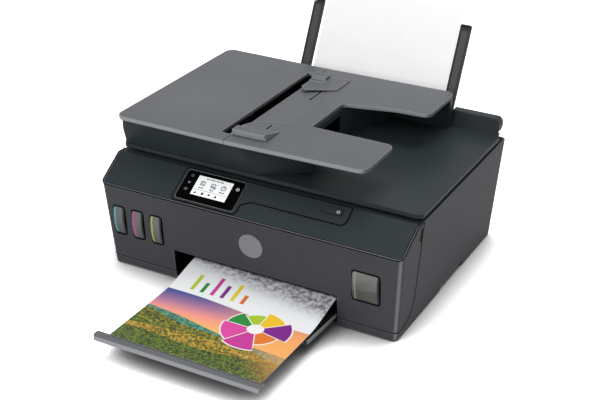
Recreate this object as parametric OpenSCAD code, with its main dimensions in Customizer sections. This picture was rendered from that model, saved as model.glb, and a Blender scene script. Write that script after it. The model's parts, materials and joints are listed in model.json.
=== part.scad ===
// All-in-one inkjet printer with refillable tanks, flatbed scanner and document feeder.
// X runs to the right, Y to the back, Z up. The origin is on the desk under the middle of the body.

/* [Body] */
// Width of the body at the top of its side walls
body_w = 453; // [430:1:470]
// Depth of the body at the top of its side walls
body_d = 373; // [360:1:390]
// Height of the side walls above the desk
side_top = 155; // [152:1:160]
// How far each side wall leans inwards from its top to the desk
side_taper = 9; // [4:1:12]
// How far the front wall leans back from the side-wall height to the desk
front_lean = 18; // [12:1:22]
// How far the back wall leans forward from the side-wall height to the desk
rear_lean = 7; // [3:1:10]
// Radius of the upright corners
corner_r = 8; // [6:1:12]
// Thickness of the plastic walls
wall = 2.5; // [2:0.1:3]
// Gap between two fixed shells
seam = 0.9; // [0.3:0.1:1.2]
// Gap between shells that move past each other
run_gap = 1; // [0.6:0.1:1.2]
// Height of the underside of the case
case_bottom = 2; // [1.5:0.5:4]
// Diameter of the rubber feet
foot_d = 16; // [12:1:20]
// Height of the seam between the front strip of the case and the fascia
strip_top = 14.5; // [12:0.5:18]
// Depth position of the upright seam between fascia and side wall
wing_y = -121; // [-130:1:-110]
// Radius of the lower corner of that seam
wing_r = 30; // [20:1:40]
// Height of the finger notch on each upright seam
notch_h = 24; // [18:1:30]

/* [Front] */
// Height of the front wall
fascia_top = 127; // [122:1:130]
// Angle of the sloping control panel
slope_angle = 31.3; // [28:0.1:34]
// Left edge of the output opening
outlet_x0 = -114; // [-118:1:-105]
// Right edge of the output opening
outlet_x1 = 134; // [132:1:138]
// Bottom of the output opening
outlet_z0 = 4.5; // [4.5:0.5:6]
// Top of the output opening
outlet_z1 = 48.5; // [46:0.5:52]
// Bottom of the ink windows
window_z0 = 52; // [51:0.5:56]
// Top of the ink windows
window_z1 = 96; // [90:0.5:98]
// Width of a colour-ink window
window_w = 17; // [14:0.5:19]
// Width of the black-ink window
black_window_w = 38; // [30:0.5:44]
// How far the window bulges out of the fascia
window_bulge = 2.8; // [1.5:0.1:4]
// Distance of the cyan window's middle from the left side wall
cyan_inset = 27.5; // [26:0.5:29]
// Spacing of the colour windows
window_pitch = 30; // [29:0.5:31]
// Distance of the black window's middle from the right side wall
black_inset = 51; // [50:0.5:54]
// Depth of the ink tanks behind the fascia
tank_d = 62; // [56:1:63]
// Width of a colour tank
tank_w = 27; // [25:0.5:28]
// Width of the black tank
black_tank_w = 58; // [50:1:59]

/* [Scanner unit] */
// Height of the scanner deck
deck_top = 157; // [156.5:0.5:160]
// Height of the underside of the scanner unit
unit_bottom = 124; // [123:0.5:126]
// Back of the scanner unit between its hinge arms
unit_rear = 138; // [134:1:140]
// Back of the scanner unit at its hinge arms
arm_rear = 174; // [172:1:175]
// Length of the scanner glass
glass_l = 310; // [304:1:318]
// Width of the scanner glass
glass_w = 228; // [222:1:232]
// Thickness of the scanner glass
glass_t = 3; // [2.5:0.5:3.5]
// Depth position of the middle of the glass
glass_y = -3; // [-5:1:-2]
// Depth position of the scanner unit's pivot
unit_pivot_y = 171; // [169:0.5:172]
// Height of the scanner unit's pivot
unit_pivot_z = 149; // [146:0.5:150]
// Radius of the scanner unit's pivot pins
pivot_r = 3; // [2.5:0.5:3.5]
// Radial clearance of a pin in its bore
pin_gap = 0.05; // [0.02:0.01:0.08]

/* [Control panel] */
// Left edge of the display lens
lens_x0 = -110; // [-114:0.5:-106]
// Right edge of the display lens
lens_x1 = -20.5; // [-24:0.5:-18]
// Distance of the lens's lower edge up the slope
lens_s0 = 7.5; // [6:0.5:10]
// Distance of the lens's upper edge up the slope
lens_s1 = 55; // [52:0.5:56]
// Width of the screen
screen_w = 53; // [48:1:56]
// Height of the screen
screen_h = 31; // [28:1:33]
// Right end of the button strip
strip_x1 = 133; // [128:1:140]
// Distance of the button strip's lower edge up the slope
strip_s0 = 29.5; // [27:0.5:32]
// Width of the power button
button_w = 28; // [22:1:30]
// Height of the power button
button_h = 9; // [7:0.5:10]
// Travel of the power button
button_travel = 1.2; // [0.8:0.1:1.5]

/* [Lid] */
// Gap between the scanner deck and the lid
lid_gap = 4; // [3.5:0.5:5]
// Thickness of the lid plate
lid_t = 6; // [5:0.5:7]
// How far the lid is set in from the body's side walls
lid_inset = 1.5; // [1:0.5:4]
// Radius of the lid's corners
lid_corner_r = 9; // [5:1:10]
// Front edge of the lid
lid_y0 = -127.5; // [-129:0.5:-125]
// Back edge of the lid
lid_y1 = 163; // [162:0.5:164]
// Depth position of the lid's hinge pins
lid_pivot_y = 172; // [171:0.5:173]
// Height of the lid's hinge pins
lid_pivot_z = 180; // [179:0.5:181]
// Radius of the lid's hinge pins
lid_pin_r = 3; // [2:0.5:3.5]
// Distance of the hinge towers from the body's side walls
tower_inset = 36.5; // [33:0.5:42]
// Width of a hinge tower
tower_w = 15; // [12:1:17]

/* [Document feeder] */
// Height of the feeder's top
adf_top = 215; // [212:0.5:217]
// Thickness of the feeder's cover and tray
adf_t = 5.5; // [5:0.5:6]
// How far the feeder's cover is set in from the lid's left edge
adf_inset = 2.5; // [2:0.5:4]
// Joint between cover and tray
adf_split_x = -52; // [-56:1:-48]
// Right end of the tray's arms
adf_x1 = 152; // [146:1:156]
// Front edge of cover and tray
adf_y0 = -146; // [-148:1:-144]
// Back edge of cover and tray
adf_y1 = 162; // [160:1:163]
// Radius of the outer corners of cover and tray
adf_corner_r = 13; // [9:1:16]
// Rise of the tray towards its right end
tray_rise = 0.85; // [0.3:0.05:1]
// Edge of the cover over the paper slot
slot_x = -70; // [-73:1:-67]
// Front end of the paper slot
slot_y0 = -122; // [-124:1:-112]
// Back end of the paper slot
slot_y1 = 134; // [130:1:136]
// Left edge of the cut-out in the tray
bay_x = 28; // [22:1:34]
// Width of the paper slot
slot_w = 14; // [10:1:16]
// Travel of each paper guide
guide_travel = 38; // [30:1:40]

/* [Rear feed] */
// Lean of the rear paper supports from upright
feed_lean = 25; // [22:0.5:28]
// Depth position of the sheet at the top of the side walls
feed_y = 162.5; // [161:0.5:164]
// Width of the paper
paper_w = 216; // [210:1:216]
// Length of the paper
paper_l = 279; // [270:1:297]
// Middle of the paper path
paper_x = 19.5; // [18:0.5:22]
// Height of the supports' tops along the lean
support_top = 155; // [148:1:160]
// Length of a paper support
support_l = 172; // [160:1:176]
// Travel of the paper supports
support_travel = 122; // [110:1:124]

/* [Output tray] */
// Upward slope of the output tray
tray_slope = 3.2; // [2.5:0.1:3.5]
// Height of the tray's surface at the fascia
tray_z = 17.8; // [17.5:0.1:18.5]
// Left edge of the tray
tray_x0 = -88; // [-92:1:-84]
// Right edge of the tray
tray_x1 = 131; // [128:1:131]
// Thickness of the tray
tray_t = 6; // [5:0.5:6]
// How far the tray stands out
tray_out = 76; // [72:1:80]
// How far the tray's lip stands out
lip_out = 208; // [203:1:210]
// Left end of the lip
lip_x0 = -104; // [-106:1:-100]
// Right end of the lip
lip_x1 = 135; // [133:1:140]
// Depth of the lip
lip_d = 15; // [12:1:17]

/* [Print unit] */
// Depth position of the carriage rod
rod_y = -18; // [-20:1:-16]
// Height of the carriage rod
rod_z = 92; // [88:1:94]
// Radius of the carriage rod
rod_r = 4; // [3:0.5:5]
// Width of the print carriage
carriage_w = 74; // [70:1:74]
// Distance of the parked carriage's middle from the right-hand plate
carriage_park = 56; // [55:0.5:58]
// Radius of the belt pulleys
pulley_r = 6; // [5:0.5:6]
// Radius of the feed roller
feed_r = 7; // [6:0.5:8]
// Height of the paper at the print head
path_z = 45; // [44:0.5:46]
// Depth position of the feed roller
feed_roller_y = -8; // [-9:0.5:-6]
// Teeth of the feed roller's gear and of the exit roller's gear
shaft_teeth = 28; // [24:2:30]
// Teeth of the idler gear between them
idler_teeth = 60; // [56:2:60]
// Teeth of the motor's pinion
pinion_teeth = 12; // [12:1:16]
// Gear module of the paper drive
gear_m = 1; // [0.95:0.01:1]

/* [Hidden] */

// --- places worked out from the body's width ---
lid_x = body_w / 2 - lid_inset;
cyan_x = cyan_inset - body_w / 2;
black_x = body_w / 2 - black_inset;
tower_x = body_w / 2 - tower_inset;
adf_x0 = adf_inset - lid_x;
plate_x = body_w / 2 - 18.5;
carriage_x = plate_x - carriage_park;

// --- walls of the tapered body at a height z ---
function lean_share(z) = (side_top - z) / side_top;
function side_x(z) = body_w / 2 - side_taper * lean_share(z);
function front_y(z) = -body_d / 2 + front_lean * lean_share(z);
function rear_y(z) = body_d / 2 - rear_lean * lean_share(z);

// --- outline with a fillet of its own radius at each corner: [x, y, radius] ---
FILLET_STEPS = 8;
function unit(v) = v / norm(v);
function fillet(a, p, b) =
    let (u = unit([a.x - p.x, a.y - p.y]), v = unit([b.x - p.x, b.y - p.y]),
         half = acos(u * v) / 2, reach = p.z / tan(half), mid = unit(u + v),
         c = [p.x, p.y] + mid * p.z / sin(half),
         s = [p.x, p.y] + u * reach - c, e = [p.x, p.y] + v * reach - c,
         a0 = atan2(s.y, s.x), turn = atan2(s.x * e.y - s.y * e.x, s * e))
    p.z == 0 ? [[p.x, p.y]] :
    [for (i = [0:FILLET_STEPS]) let (a = a0 + turn * i / FILLET_STEPS) c + p.z * [cos(a), sin(a)]];
function outline(pts) = let (n = len(pts))
    [for (i = [0:n - 1]) each fillet(pts[(i + n - 1) % n], pts[i], pts[(i + 1) % n])];

module plate(x0, y0, x1, y1, r) {
    polygon(outline([[x0, y0, r], [x1, y0, r], [x1, y1, r], [x0, y1, r]]));
}

module box(x0, x1, y0, y1, z0, z1) {
    translate([x0, y0, z0]) cube([x1 - x0, y1 - y0, z1 - z0]);
}

// Profile drawn in Y and Z, extruded from x0 to x1
module side_profile(x0, x1) {
    translate([x0, 0, 0]) rotate([90, 0, 90]) linear_extrude(x1 - x0) children();
}

// Rounded upright opening in the front wall, running along Y
module front_cut(x0, x1, z0, z1, r, y0, y1) {
    translate([0, y1, 0]) rotate([90, 0, 0]) linear_extrude(y1 - y0) plate(x0, z0, x1, z1, r);
}

module rod_x(x0, x1, y, z, r) {
    translate([x0, y, z]) rotate([0, 90, 0]) cylinder(h = x1 - x0, r = r, $fn = 48);
}

module rod_y(y0, y1, x, z, r) {
    translate([x, y0, z]) rotate([-90, 0, 0]) cylinder(h = y1 - y0, r = r, $fn = 48);
}

// Body outline at one height, set in by a distance
module body_slice(z, inset) {
    x = side_x(z) - inset;
    r = max(corner_r - inset, 1);
    translate([0, 0, z]) linear_extrude(0.01) plate(-x, front_y(z) + inset, x, rear_y(z) - inset, r);
}

module tapered_block(z0, z1, inset) {
    hull() {
        body_slice(z0, inset);
        body_slice(z1 - 0.01, inset);
    }
}

// --- control slope: s runs up the slope, n stands out of it ---
slope_y = front_y(fascia_top);
slope_end_y = slope_y + (deck_top - fascia_top) / tan(slope_angle);

module on_slope() {
    translate([0, slope_y, fascia_top]) rotate([slope_angle, 0, 0]) children();
}

module above_slope(offset_n) {
    on_slope() translate([-body_w, -80, offset_n]) cube([2 * body_w, 200, 120]);
}

// Region of the fascia, seen from the side; grow widens it all round
module wing_region(grow) {
    polygon(outline([[-260, strip_top - grow, 0], [wing_y + grow, strip_top - grow, wing_r],
        [wing_y + grow, 260, 0], [-260, 260, 0]]));
}

module finger_notches() {
    z1 = side_top - 7;
    for (side = [-1, 1]) mirrored(side)
        box(side_x(z1) - 1.8, side_x(z1) + 5, wing_y - 2, wing_y + 2, z1 - notch_h, z1);
}

module mirrored(side) {
    if (side > 0) children();
    else mirror([1, 0, 0]) children();
}

module outlet_cut() {
    box(outlet_x0, outlet_x1, -body_d, wing_y, outlet_z0, outlet_z1);
}

// --- base case ---
rear_win_x = body_w / 2 - 30;
rear_win_z0 = 14;
rear_win_z1 = 140;
recess_y0 = -19;
recess_y1 = 65;
recess_top = 10;
recess_depth = 12;
feet_x = body_w / 2 - 41.5;
feet_y = [-140, 150];
floor_z = case_bottom + wall;
tank_z0 = 30;
tank_z1 = 98;
colour_x = [cyan_x, cyan_x + window_pitch, cyan_x + 2 * window_pitch];
tank_ribs_x = concat([for (x = colour_x) x], [black_x - 20, black_x + 20]);
tank_ribs_y = [-162, -122];

module base_case() color("#4c4b4e") {
    difference() {
        union() {
            difference() {
                tapered_block(case_bottom, side_top, 0);
                tapered_block(case_bottom + wall, side_top + 1, wall);
            }
            for (side = [-1, 1]) mirrored(side) {
                box(side_x(0) - recess_depth - wall, side_x(0) - 1, recess_y0 - wall, recess_y1 + wall,
                    floor_z - 0.1, recess_top + wall);
                rod_x(side_x(unit_pivot_z) - wall - 8, side_x(unit_pivot_z) - 1,
                    unit_pivot_y, unit_pivot_z, pivot_r);
            }
            for (x = tank_ribs_x) box(x - 1, x + 1, tank_ribs_y[0], tank_ribs_y[1], floor_z - 0.1, tank_z0);
        }
        side_profile(-body_w, body_w) wing_region(seam);
        box(-rear_win_x, rear_win_x, rear_y(0) - 12, body_d, rear_win_z0, rear_win_z1);
        outlet_cut();
        finger_notches();
        for (side = [-1, 1]) mirrored(side) {
            box(side_x(0) - recess_depth, side_x(0) + 20, recess_y0, recess_y1, -1, recess_top);
        }
        feet();
        for (side = [-1, 1]) mirrored(side)
            for (y = tabs_y) translate([plate_x - 7, y, -1]) cylinder(h = 20, r = screw_r + 0.2, $fn = 32);
    }
}

// Four feet at the corners and one under the middle of the floor
module feet() {
    for (p = [[-feet_x, feet_y[0]], [feet_x, feet_y[0]], [-feet_x, feet_y[1]], [feet_x, feet_y[1]], [0, 0]])
        translate(p) cylinder(h = case_bottom + 1, d = foot_d, $fn = 48);
}

module rubber_feet() color("#161616") feet();

// --- front fascia with its ink windows ---
gasket_t = 1;

module window_cut(x, w, grow) {
    front_cut(x - w / 2 - grow, x + w / 2 + grow, window_z0 - grow, window_z1 + grow, 3.5 + grow,
        -body_d / 2 - 5, -150);
}

module front_fascia() color("#4c4b4e")
    difference() {
        intersection() {
            difference() {
                tapered_block(strip_top, side_top, 0);
                tapered_block(strip_top - 1, side_top + 1, wall);
            }
            side_profile(-body_w, body_w) wing_region(0);
        }
        above_slope(0);
        outlet_cut();
        finger_notches();
        for (x = colour_x) window_cut(x, window_w, gasket_t);
        window_cut(black_x, black_window_w, gasket_t);
    }

module gasket(x, w) {
    difference() {
        intersection() {
            window_cut(x, w, gasket_t);
            side_profile(x - w, x + w) polygon([[front_y(0) - 0.5, 0], [front_y(0) + wall, 0],
                [front_y(side_top) + wall, side_top], [front_y(side_top) - 0.5, side_top]]);
        }
        window_cut(x, w, 0);
    }
}

module window_gaskets() color("#101010") {
    for (x = colour_x) gasket(x, window_w);
    gasket(black_x, black_window_w);
}

// --- ink tanks: hollow, with a bulging front that fills the window ---
tank_wall = 1.4;
neck_r = 8;
neck_h = 3;
neck_y = -150;
cap_l = 22;
cap_w = 21;
cap_t = 3;
cap_hinge_y = neck_y + cap_l / 2 + 1;
cap_z = tank_z1 + neck_h + 0.4;
cap_pin_z = cap_z + cap_t / 2;
cap_pin_r = 1;

tank_gap = 0.3;

// A tank set in by a skin; its front and outer side follow the case walls
module tank_block(x, w, skin) {
    y1 = front_y(tank_z1) + wall + tank_d;
    intersection() {
        box(x - w / 2 + skin, x + w / 2 - skin, -body_d, y1 - skin, tank_z0 + skin, tank_z1 - skin);
        tapered_block(0, side_top, wall + tank_gap + skin);
    }
}

// Side view of the bulge: a flat arc that stands out of the leaning wall
module bulge_profile(grow) {
    mid_z = (window_z0 + window_z1) / 2;
    half = (window_z1 - window_z0) / 2 - 0.2;
    r = (half * half + window_bulge * window_bulge) / (2 * window_bulge);
    lean = atan(front_lean / side_top);
    translate([front_y(mid_z), mid_z]) rotate(lean) intersection() {
        translate([r - window_bulge, 0]) circle(r = r + grow, $fn = 180);
        translate([-10, -half - grow]) square([10 + wall + 1.2 + tank_wall - grow, 2 * (half + grow)]);
    }
}

module tank(x, w, win_w) {
    difference() {
        union() {
            tank_block(x, w, 0);
            intersection() {
                side_profile(x - win_w / 2 + 0.2, x + win_w / 2 - 0.2) bulge_profile(0);
                window_cut(x, win_w, -0.1);
            }
            translate([x, neck_y, tank_z1]) cylinder(h = neck_h, r = neck_r, $fn = 48);
            for (side = [-1, 1]) translate([x, 0, 0]) mirrored(side) {
                box(cap_w / 2 + 0.4, cap_w / 2 + 2.4, cap_hinge_y - 2, cap_hinge_y + 2,
                    tank_z1 - 0.1, cap_pin_z + 2);
                rod_x(cap_w / 2 - 3, cap_w / 2 + 1, cap_hinge_y, cap_pin_z, cap_pin_r);
            }
        }
        tank_block(x, w, tank_wall);
        side_profile(x - win_w / 2 + tank_wall, x + win_w / 2 - tank_wall) bulge_profile(-tank_wall);
        translate([x, neck_y, tank_z1 - 2 * tank_wall]) cylinder(h = 8, r = neck_r - 1.5, $fn = 48);
    }
}

module tank_cyan() color("#6fb7b4") tank(colour_x[0], tank_w, window_w);
module tank_magenta() color("#b3709b") tank(colour_x[1], tank_w, window_w);
module tank_yellow() color("#c9c065") tank(colour_x[2], tank_w, window_w);
module tank_black() color("#6b6c6e") tank(black_x, black_tank_w, black_window_w);

// --- tank caps, each on its own small hinge behind the filler neck ---
module cap(x) {
    difference() {
        union() {
            translate([0, 0, cap_z]) linear_extrude(cap_t)
                plate(x - cap_w / 2, cap_hinge_y - cap_l - 1, x + cap_w / 2, cap_hinge_y, 1.5);
            rod_x(x - cap_w / 2, x + cap_w / 2, cap_hinge_y, cap_pin_z, 2);
            translate([x, neck_y, tank_z1]) cylinder(h = cap_z - tank_z1 + 0.5, r = neck_r - 2.5, $fn = 48);
        }
        for (side = [-1, 1]) translate([x, 0, 0]) mirrored(side)
            rod_x(cap_w / 2 - 3.5, cap_w / 2 + 1, cap_hinge_y, cap_pin_z, cap_pin_r + pin_gap);
    }
}

module cap_cyan() color("#2aa0c8") cap(colour_x[0]);
module cap_magenta() color("#c03a86") cap(colour_x[1]);
module cap_yellow() color("#d8c62c") cap(colour_x[2]);
module cap_black() color("#1c1c1e") cap(black_x);

// --- back of the case, with its vents and ports ---
board_z = floor_z + 10;
board_t = 1.6;
board_x0 = plate_x - 148;
board_x1 = plate_x - 18;
board_y0 = 60;
board_y1 = 172;
inlet_x = -158;
inlet_z = 34;
inlet_w = 26;
inlet_h = 17;
inlet_d = 20;
usb_x = 150;
usb_w = 13;
usb_h = 12;
usb_z = board_z + board_t + usb_h / 2;
usb_d = 17;
port_rim = 1.4;
vent_n = 12;
vent_step = 10;
vent_w = 4;
vent_z = [92, 122];

// Box of a port's size, centred on x and z, from y0 to y1
module port_block(x, z, w, h, y0, y1) {
    box(x - w / 2, x + w / 2, y0, y1, z - h / 2, z + h / 2);
}

module rear_cover() color("#3a3a3d")
    difference() {
        intersection() {
            difference() {
                tapered_block(case_bottom, side_top, 0);
                tapered_block(case_bottom - 1, side_top + 1, wall);
            }
            box(seam - rear_win_x, rear_win_x - seam, 0, body_d, rear_win_z0 + seam, rear_win_z1 - seam);
        }
        for (i = [0:vent_n - 1]) let (x = (i - vent_n / 2) * vent_step)
            box(x, x + vent_w, 0, body_d, vent_z[0], vent_z[1]);
        port_block(inlet_x, inlet_z, inlet_w, inlet_h, 0, body_d);
        port_block(usb_x, usb_z, usb_w, usb_h, 0, body_d);
    }

module power_inlet() color("#141414") {
    y1 = rear_y(inlet_z) - 0.6;
    difference() {
        port_block(inlet_x, inlet_z, inlet_w, inlet_h, y1 - inlet_d, y1);
        for (dx = [-4, 4]) rod_y(y1 - 14, y1 + 1, inlet_x + dx, inlet_z, 4.4);
        box(inlet_x - 4, inlet_x + 4, y1 - 14, y1 + 1, inlet_z - 3.4, inlet_z + 3.4);
    }
    for (dx = [-4, 4]) rod_y(y1 - 14.5, y1 - 3, inlet_x + dx, inlet_z, 1.2);
}

module usb_port() color("#b9bcc0") {
    y1 = rear_y(usb_z) - 0.6;
    difference() {
        port_block(usb_x, usb_z, usb_w, usb_h, y1 - usb_d, y1);
        port_block(usb_x, usb_z, usb_w - 2 * port_rim, usb_h - 2 * port_rim, y1 - 12, y1 + 1);
    }
    box(usb_x - 2.8, usb_x + 2.8, y1 - 12.5, y1 - 2, usb_z - 1.6, usb_z + 1.6);
}

// --- electronics ---
module power_supply() color("#22252a")
    box(inlet_x - 30, inlet_x + 30, 62, rear_y(inlet_z) - 0.6 - inlet_d, floor_z, inlet_z + inlet_h / 2 + 3);

module main_board() color("#1d5a38") {
    for (x = [board_x0 + 10, board_x1 - 10], y = [board_y0 + 10, board_y1 - 10])
        translate([x, y, floor_z]) cylinder(h = board_z - floor_z, d = 6, $fn = 32);
    box(board_x0, board_x1, board_y0, board_y1, board_z, board_z + board_t);
    for (i = [0:2]) translate([board_x0 + 18 + 34 * i, board_y0 + 30, board_z + board_t]) cube([18, 18, 3]);
    for (i = [0:2]) translate([board_x0 + 18 + 22 * i, board_y1 - 32, board_z + board_t])
        cylinder(h = 10, d = 8, $fn = 32);
}

// --- sheet-metal chassis that carries rod, rollers and gears ---
plate_t = 2;
plate_y0 = -104;
plate_y1 = 86;
plate_top = 112;
plate_step_z = 60;
back_plate_y = -2;
tabs_y = [78, -77];
motor_x0 = 13 - plate_x;
pulley_z = rod_z - 16;
drive_x = 24 - plate_x;
idler_x = plate_x - 10;
belt_y0 = -28;
belt_w = 6;
screw_r = 1.5;
shaft_r = 3;
feed_z = path_z - feed_r;
gear_x0 = 4 - plate_x;
gear_w = 6;
exit_roller_y = feed_roller_y - gear_m * (shaft_teeth + idler_teeth);
idler_y = (feed_roller_y + exit_roller_y) / 2;
pinion_angle = -25;
pinion_dist = gear_m * (shaft_teeth + pinion_teeth) / 2;
pinion_y = feed_roller_y + pinion_dist * cos(pinion_angle);
pinion_z = feed_z + pinion_dist * sin(pinion_angle);

module chassis() color("#a9acb0") {
    difference() {
        union() {
            for (side = [-1, 1]) mirrored(side) {
                difference() {
                    box(plate_x, plate_x + plate_t, plate_y0, plate_y1, floor_z, plate_top);
                    box(plate_x - 1, plate_x + plate_t + 1, plate_y0 - 1, exit_roller_y + 9,
                        plate_step_z, plate_top + 1);
                    box(plate_x - 1, plate_x + plate_t + 1, 40, plate_y1 + 1, plate_step_z, plate_top + 1);
                    box(plate_x - 1, plate_x + plate_t + 1, recess_y0 - wall - 1, recess_y1 + wall + 1,
                        floor_z - 1, recess_top + wall + 1);
                }
                for (y = tabs_y) {
                    box(plate_x - 14, plate_x, y - 7, y + 7, floor_z, floor_z + 1.5);
                    translate([plate_x - 7, y, floor_z]) cylinder(h = 8, r = 4, $fn = 32);
                }
            }
            box(-plate_x, plate_x, back_plate_y, back_plate_y + plate_t, plate_step_z - 2, plate_top);
            box(motor_x0 - 1.5, motor_x0, back_plate_y, pinion_y + 15, floor_z + 10, plate_step_z);
            rod_y(belt_y0 - 1.5, back_plate_y, idler_x, pulley_z, 2);
            rod_x(-plate_x, gear_x0 + gear_w + 1, idler_y, feed_z, shaft_r);
        }
        for (side = [-1, 1]) mirrored(side)
            for (y = tabs_y) translate([plate_x - 7, y, 0]) cylinder(h = 20, r = screw_r, $fn = 32);
        rod_y(back_plate_y - 1, back_plate_y + 4, drive_x, pulley_z, 3);
        rod_x(motor_x0 - 3, motor_x0 + 1, pinion_y, pinion_z, 3);
        for (y = [feed_roller_y, exit_roller_y])
            rod_x(-body_w, body_w, y, feed_z, shaft_r + pin_gap);
    }
}

module case_screws() color("#77797c")
    for (side = [-1, 1]) mirrored(side)
        for (y = tabs_y) translate([plate_x - 7, y, 0]) {
            translate([0, 0, case_bottom - 1.6]) cylinder(h = 1.6, r = 3.2, $fn = 32);
            translate([0, 0, case_bottom - 0.1]) cylinder(h = 9, r = screw_r, $fn = 32);
        }

module carriage_rod() color("#c9cbce") rod_x(-plate_x, plate_x, rod_y, rod_z, rod_r);

module encoder_strip() color("#d8dcdf")
    box(-plate_x, plate_x, back_plate_y - 3.6, back_plate_y - 3.2, rod_z + 8, rod_z + 18);

module belt_outline(r) {
    translate([drive_x, pulley_z]) circle(r = r, $fn = 64);
    translate([idler_x, pulley_z]) circle(r = r, $fn = 64);
    translate([drive_x, pulley_z - r]) square([idler_x - drive_x, 2 * r]);
}

module carriage_belt() color("#1b1b1b")
    translate([0, belt_y0 + belt_w, 0]) rotate([90, 0, 0]) linear_extrude(belt_w)
        difference() {
            belt_outline(pulley_r + 1.4);
            belt_outline(pulley_r + 0.2);
        }

module carriage_motor() color("#8f9296")
    difference() {
        rod_y(back_plate_y + plate_t, back_plate_y + plate_t + 34, drive_x, pulley_z, 15);
        rod_y(back_plate_y, back_plate_y + plate_t + 8, drive_x, pulley_z, 1.5 + pin_gap);
    }

module pulley(x) {
    rod_y(belt_y0 + 0.2, belt_y0 + belt_w - 0.2, x, pulley_z, pulley_r);
    rod_y(belt_y0 - 1, belt_y0 - 0.3, x, pulley_z, pulley_r + 1);
    rod_y(belt_y0 - 0.4, belt_y0 + 0.3, x, pulley_z, pulley_r - 1);
}

module drive_pulley() color("#d0b060") {
    pulley(drive_x);
    rod_y(belt_y0 + belt_w - 0.3, back_plate_y + plate_t + 7, drive_x, pulley_z, 1.5);
}

module idler_pulley() color("#e6e6e2")
    difference() {
        pulley(idler_x);
        rod_y(belt_y0 - 2, belt_y0 + belt_w + 1, idler_x, pulley_z, 2 + pin_gap);
    }

// --- print carriage ---
carriage_y0 = -88;
carriage_y1 = back_plate_y - 6;
carriage_z0 = path_z + 4;
carriage_z1 = 110;
head_w = 24;
head_y0 = -82;
head_y1 = -38;
heads_x = [carriage_x - 2, carriage_x + head_w];

module carriage() color("#2b2c2f")
    difference() {
        box(carriage_x - carriage_w / 2, carriage_x + carriage_w / 2, carriage_y0, carriage_y1,
            carriage_z0, carriage_z1);
        rod_x(carriage_x - carriage_w, carriage_x + carriage_w, rod_y, rod_z, rod_r + pin_gap);
        box(carriage_x - carriage_w, carriage_x + carriage_w, belt_y0 - 3, belt_y0 + belt_w + 2,
            pulley_z - pulley_r - 3, pulley_z + pulley_r + 3);
        for (x = heads_x) {
            box(x - head_w / 2 - 0.3, x + head_w / 2 + 0.3, head_y0 - 0.3, head_y1 + 0.3,
                carriage_z0 + 6, carriage_z1 + 1);
            box(x - head_w / 2 + 3, x + head_w / 2 - 3, head_y0 + 6, head_y1 - 6,
                carriage_z0 - 1, carriage_z0 + 7);
        }
        box(carriage_x - carriage_w / 2 + 4, heads_x[0] - head_w / 2 - 3, head_y0, head_y1,
            carriage_z0 + 6, carriage_z1 + 1);
    }

module printheads() color("#17181a")
    for (x = heads_x) {
        box(x - head_w / 2, x + head_w / 2, head_y0, head_y1, carriage_z0 + 6, carriage_z1 - 8);
        box(x - head_w / 2 + 3.3, x + head_w / 2 - 3.3, head_y0 + 6.3, head_y1 - 6.3,
            path_z + 1.6, carriage_z0 + 6);
    }

// --- paper path ---
path_x0 = paper_x - paper_w / 2;
path_x1 = paper_x + paper_w / 2;
platen_y0 = exit_roller_y + 10;
platen_y1 = feed_roller_y - feed_r - 2;

module platen() color("#1f2022") {
    box(path_x0 - 10, path_x1 + 3, platen_y0, platen_y1, path_z - 9, path_z - 2);
    for (i = [0:10]) let (x = path_x0 + 21 * i)
        box(x, x + 1.5, platen_y0, platen_y1, path_z - 2, path_z - 0.6);
    for (p = [[path_x0 - 6, platen_y0 + 2], [path_x0 - 6, platen_y1 - 8], [path_x1 - 4, platen_y1 - 8]])
        box(p.x, p.x + 5, p.y, p.y + 6, floor_z, path_z - 9);
}

module service_station() color("#2a2b2d")
    difference() {
        union() {
            box(path_x1 + 5, carriage_x + carriage_w / 2 + 4.5, carriage_y0, rod_y - rod_r,
                floor_z, path_z - 4);
            for (x = heads_x) box(x - 9, x + 9, head_y0 + 7, head_y1 - 7, path_z - 4, path_z + 0.6);
        }
        for (x = heads_x) box(x - 7, x + 7, head_y0 + 9, head_y1 - 9, path_z - 2, path_z + 2);
    }

// Gear in the Y-Z plane; turn is the angle of one tooth's middle
module gear(teeth, y, z, turn) {
    rp = gear_m * teeth / 2;
    root = rp - 1.2 * gear_m;
    tip = rp + 0.8 * gear_m;
    step = 360 / teeth;
    side_profile(gear_x0, gear_x0 + gear_w) translate([y, z]) union() {
        circle(r = root, $fn = 96);
        for (i = [0:teeth - 1]) rotate(turn + i * step)
            polygon([for (side = [-1, 1], k = [0:2]) let (j = side < 0 ? k : 2 - k)
                [[root - 0.4, rp, tip][j], side * rp * sin(step * [0.26, 0.2, 0.11][j])]]);
    }
}

module feed_roller() color("#8a8c8f") {
    rod_x(-plate_x - plate_t - 2, plate_x + plate_t + 2, feed_roller_y, feed_z, shaft_r);
    for (i = [0:3]) rod_x(path_x0 + 4 + 55 * i, path_x0 + 46 + 55 * i, feed_roller_y, feed_z, feed_r);
    gear(shaft_teeth, feed_roller_y, feed_z, 180);
}

module exit_roller() color("#6f7174") {
    rod_x(-plate_x - plate_t - 2, plate_x + plate_t + 2, exit_roller_y, feed_z, shaft_r);
    for (i = [0:4]) rod_x(path_x0 + 10 + 46 * i, path_x0 + 22 + 46 * i, exit_roller_y, feed_z, feed_r - 0.5);
    gear(shaft_teeth, exit_roller_y, feed_z, 0);
}

module idler_gear() color("#d9d9d4")
    difference() {
        gear(idler_teeth, idler_y, feed_z, 180 / idler_teeth);
        rod_x(gear_x0 - 1, gear_x0 + gear_w + 1, idler_y, feed_z, shaft_r + pin_gap);
    }

// The pinion's gap faces the feed gear's tooth nearest to it
feed_tooth_step = 360 / shaft_teeth;
feed_tooth_phase = (pinion_angle - 180) - feed_tooth_step * round((pinion_angle - 180) / feed_tooth_step);
pinion_turn = pinion_angle + 180 + 180 / pinion_teeth + feed_tooth_phase * shaft_teeth / pinion_teeth;

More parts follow.
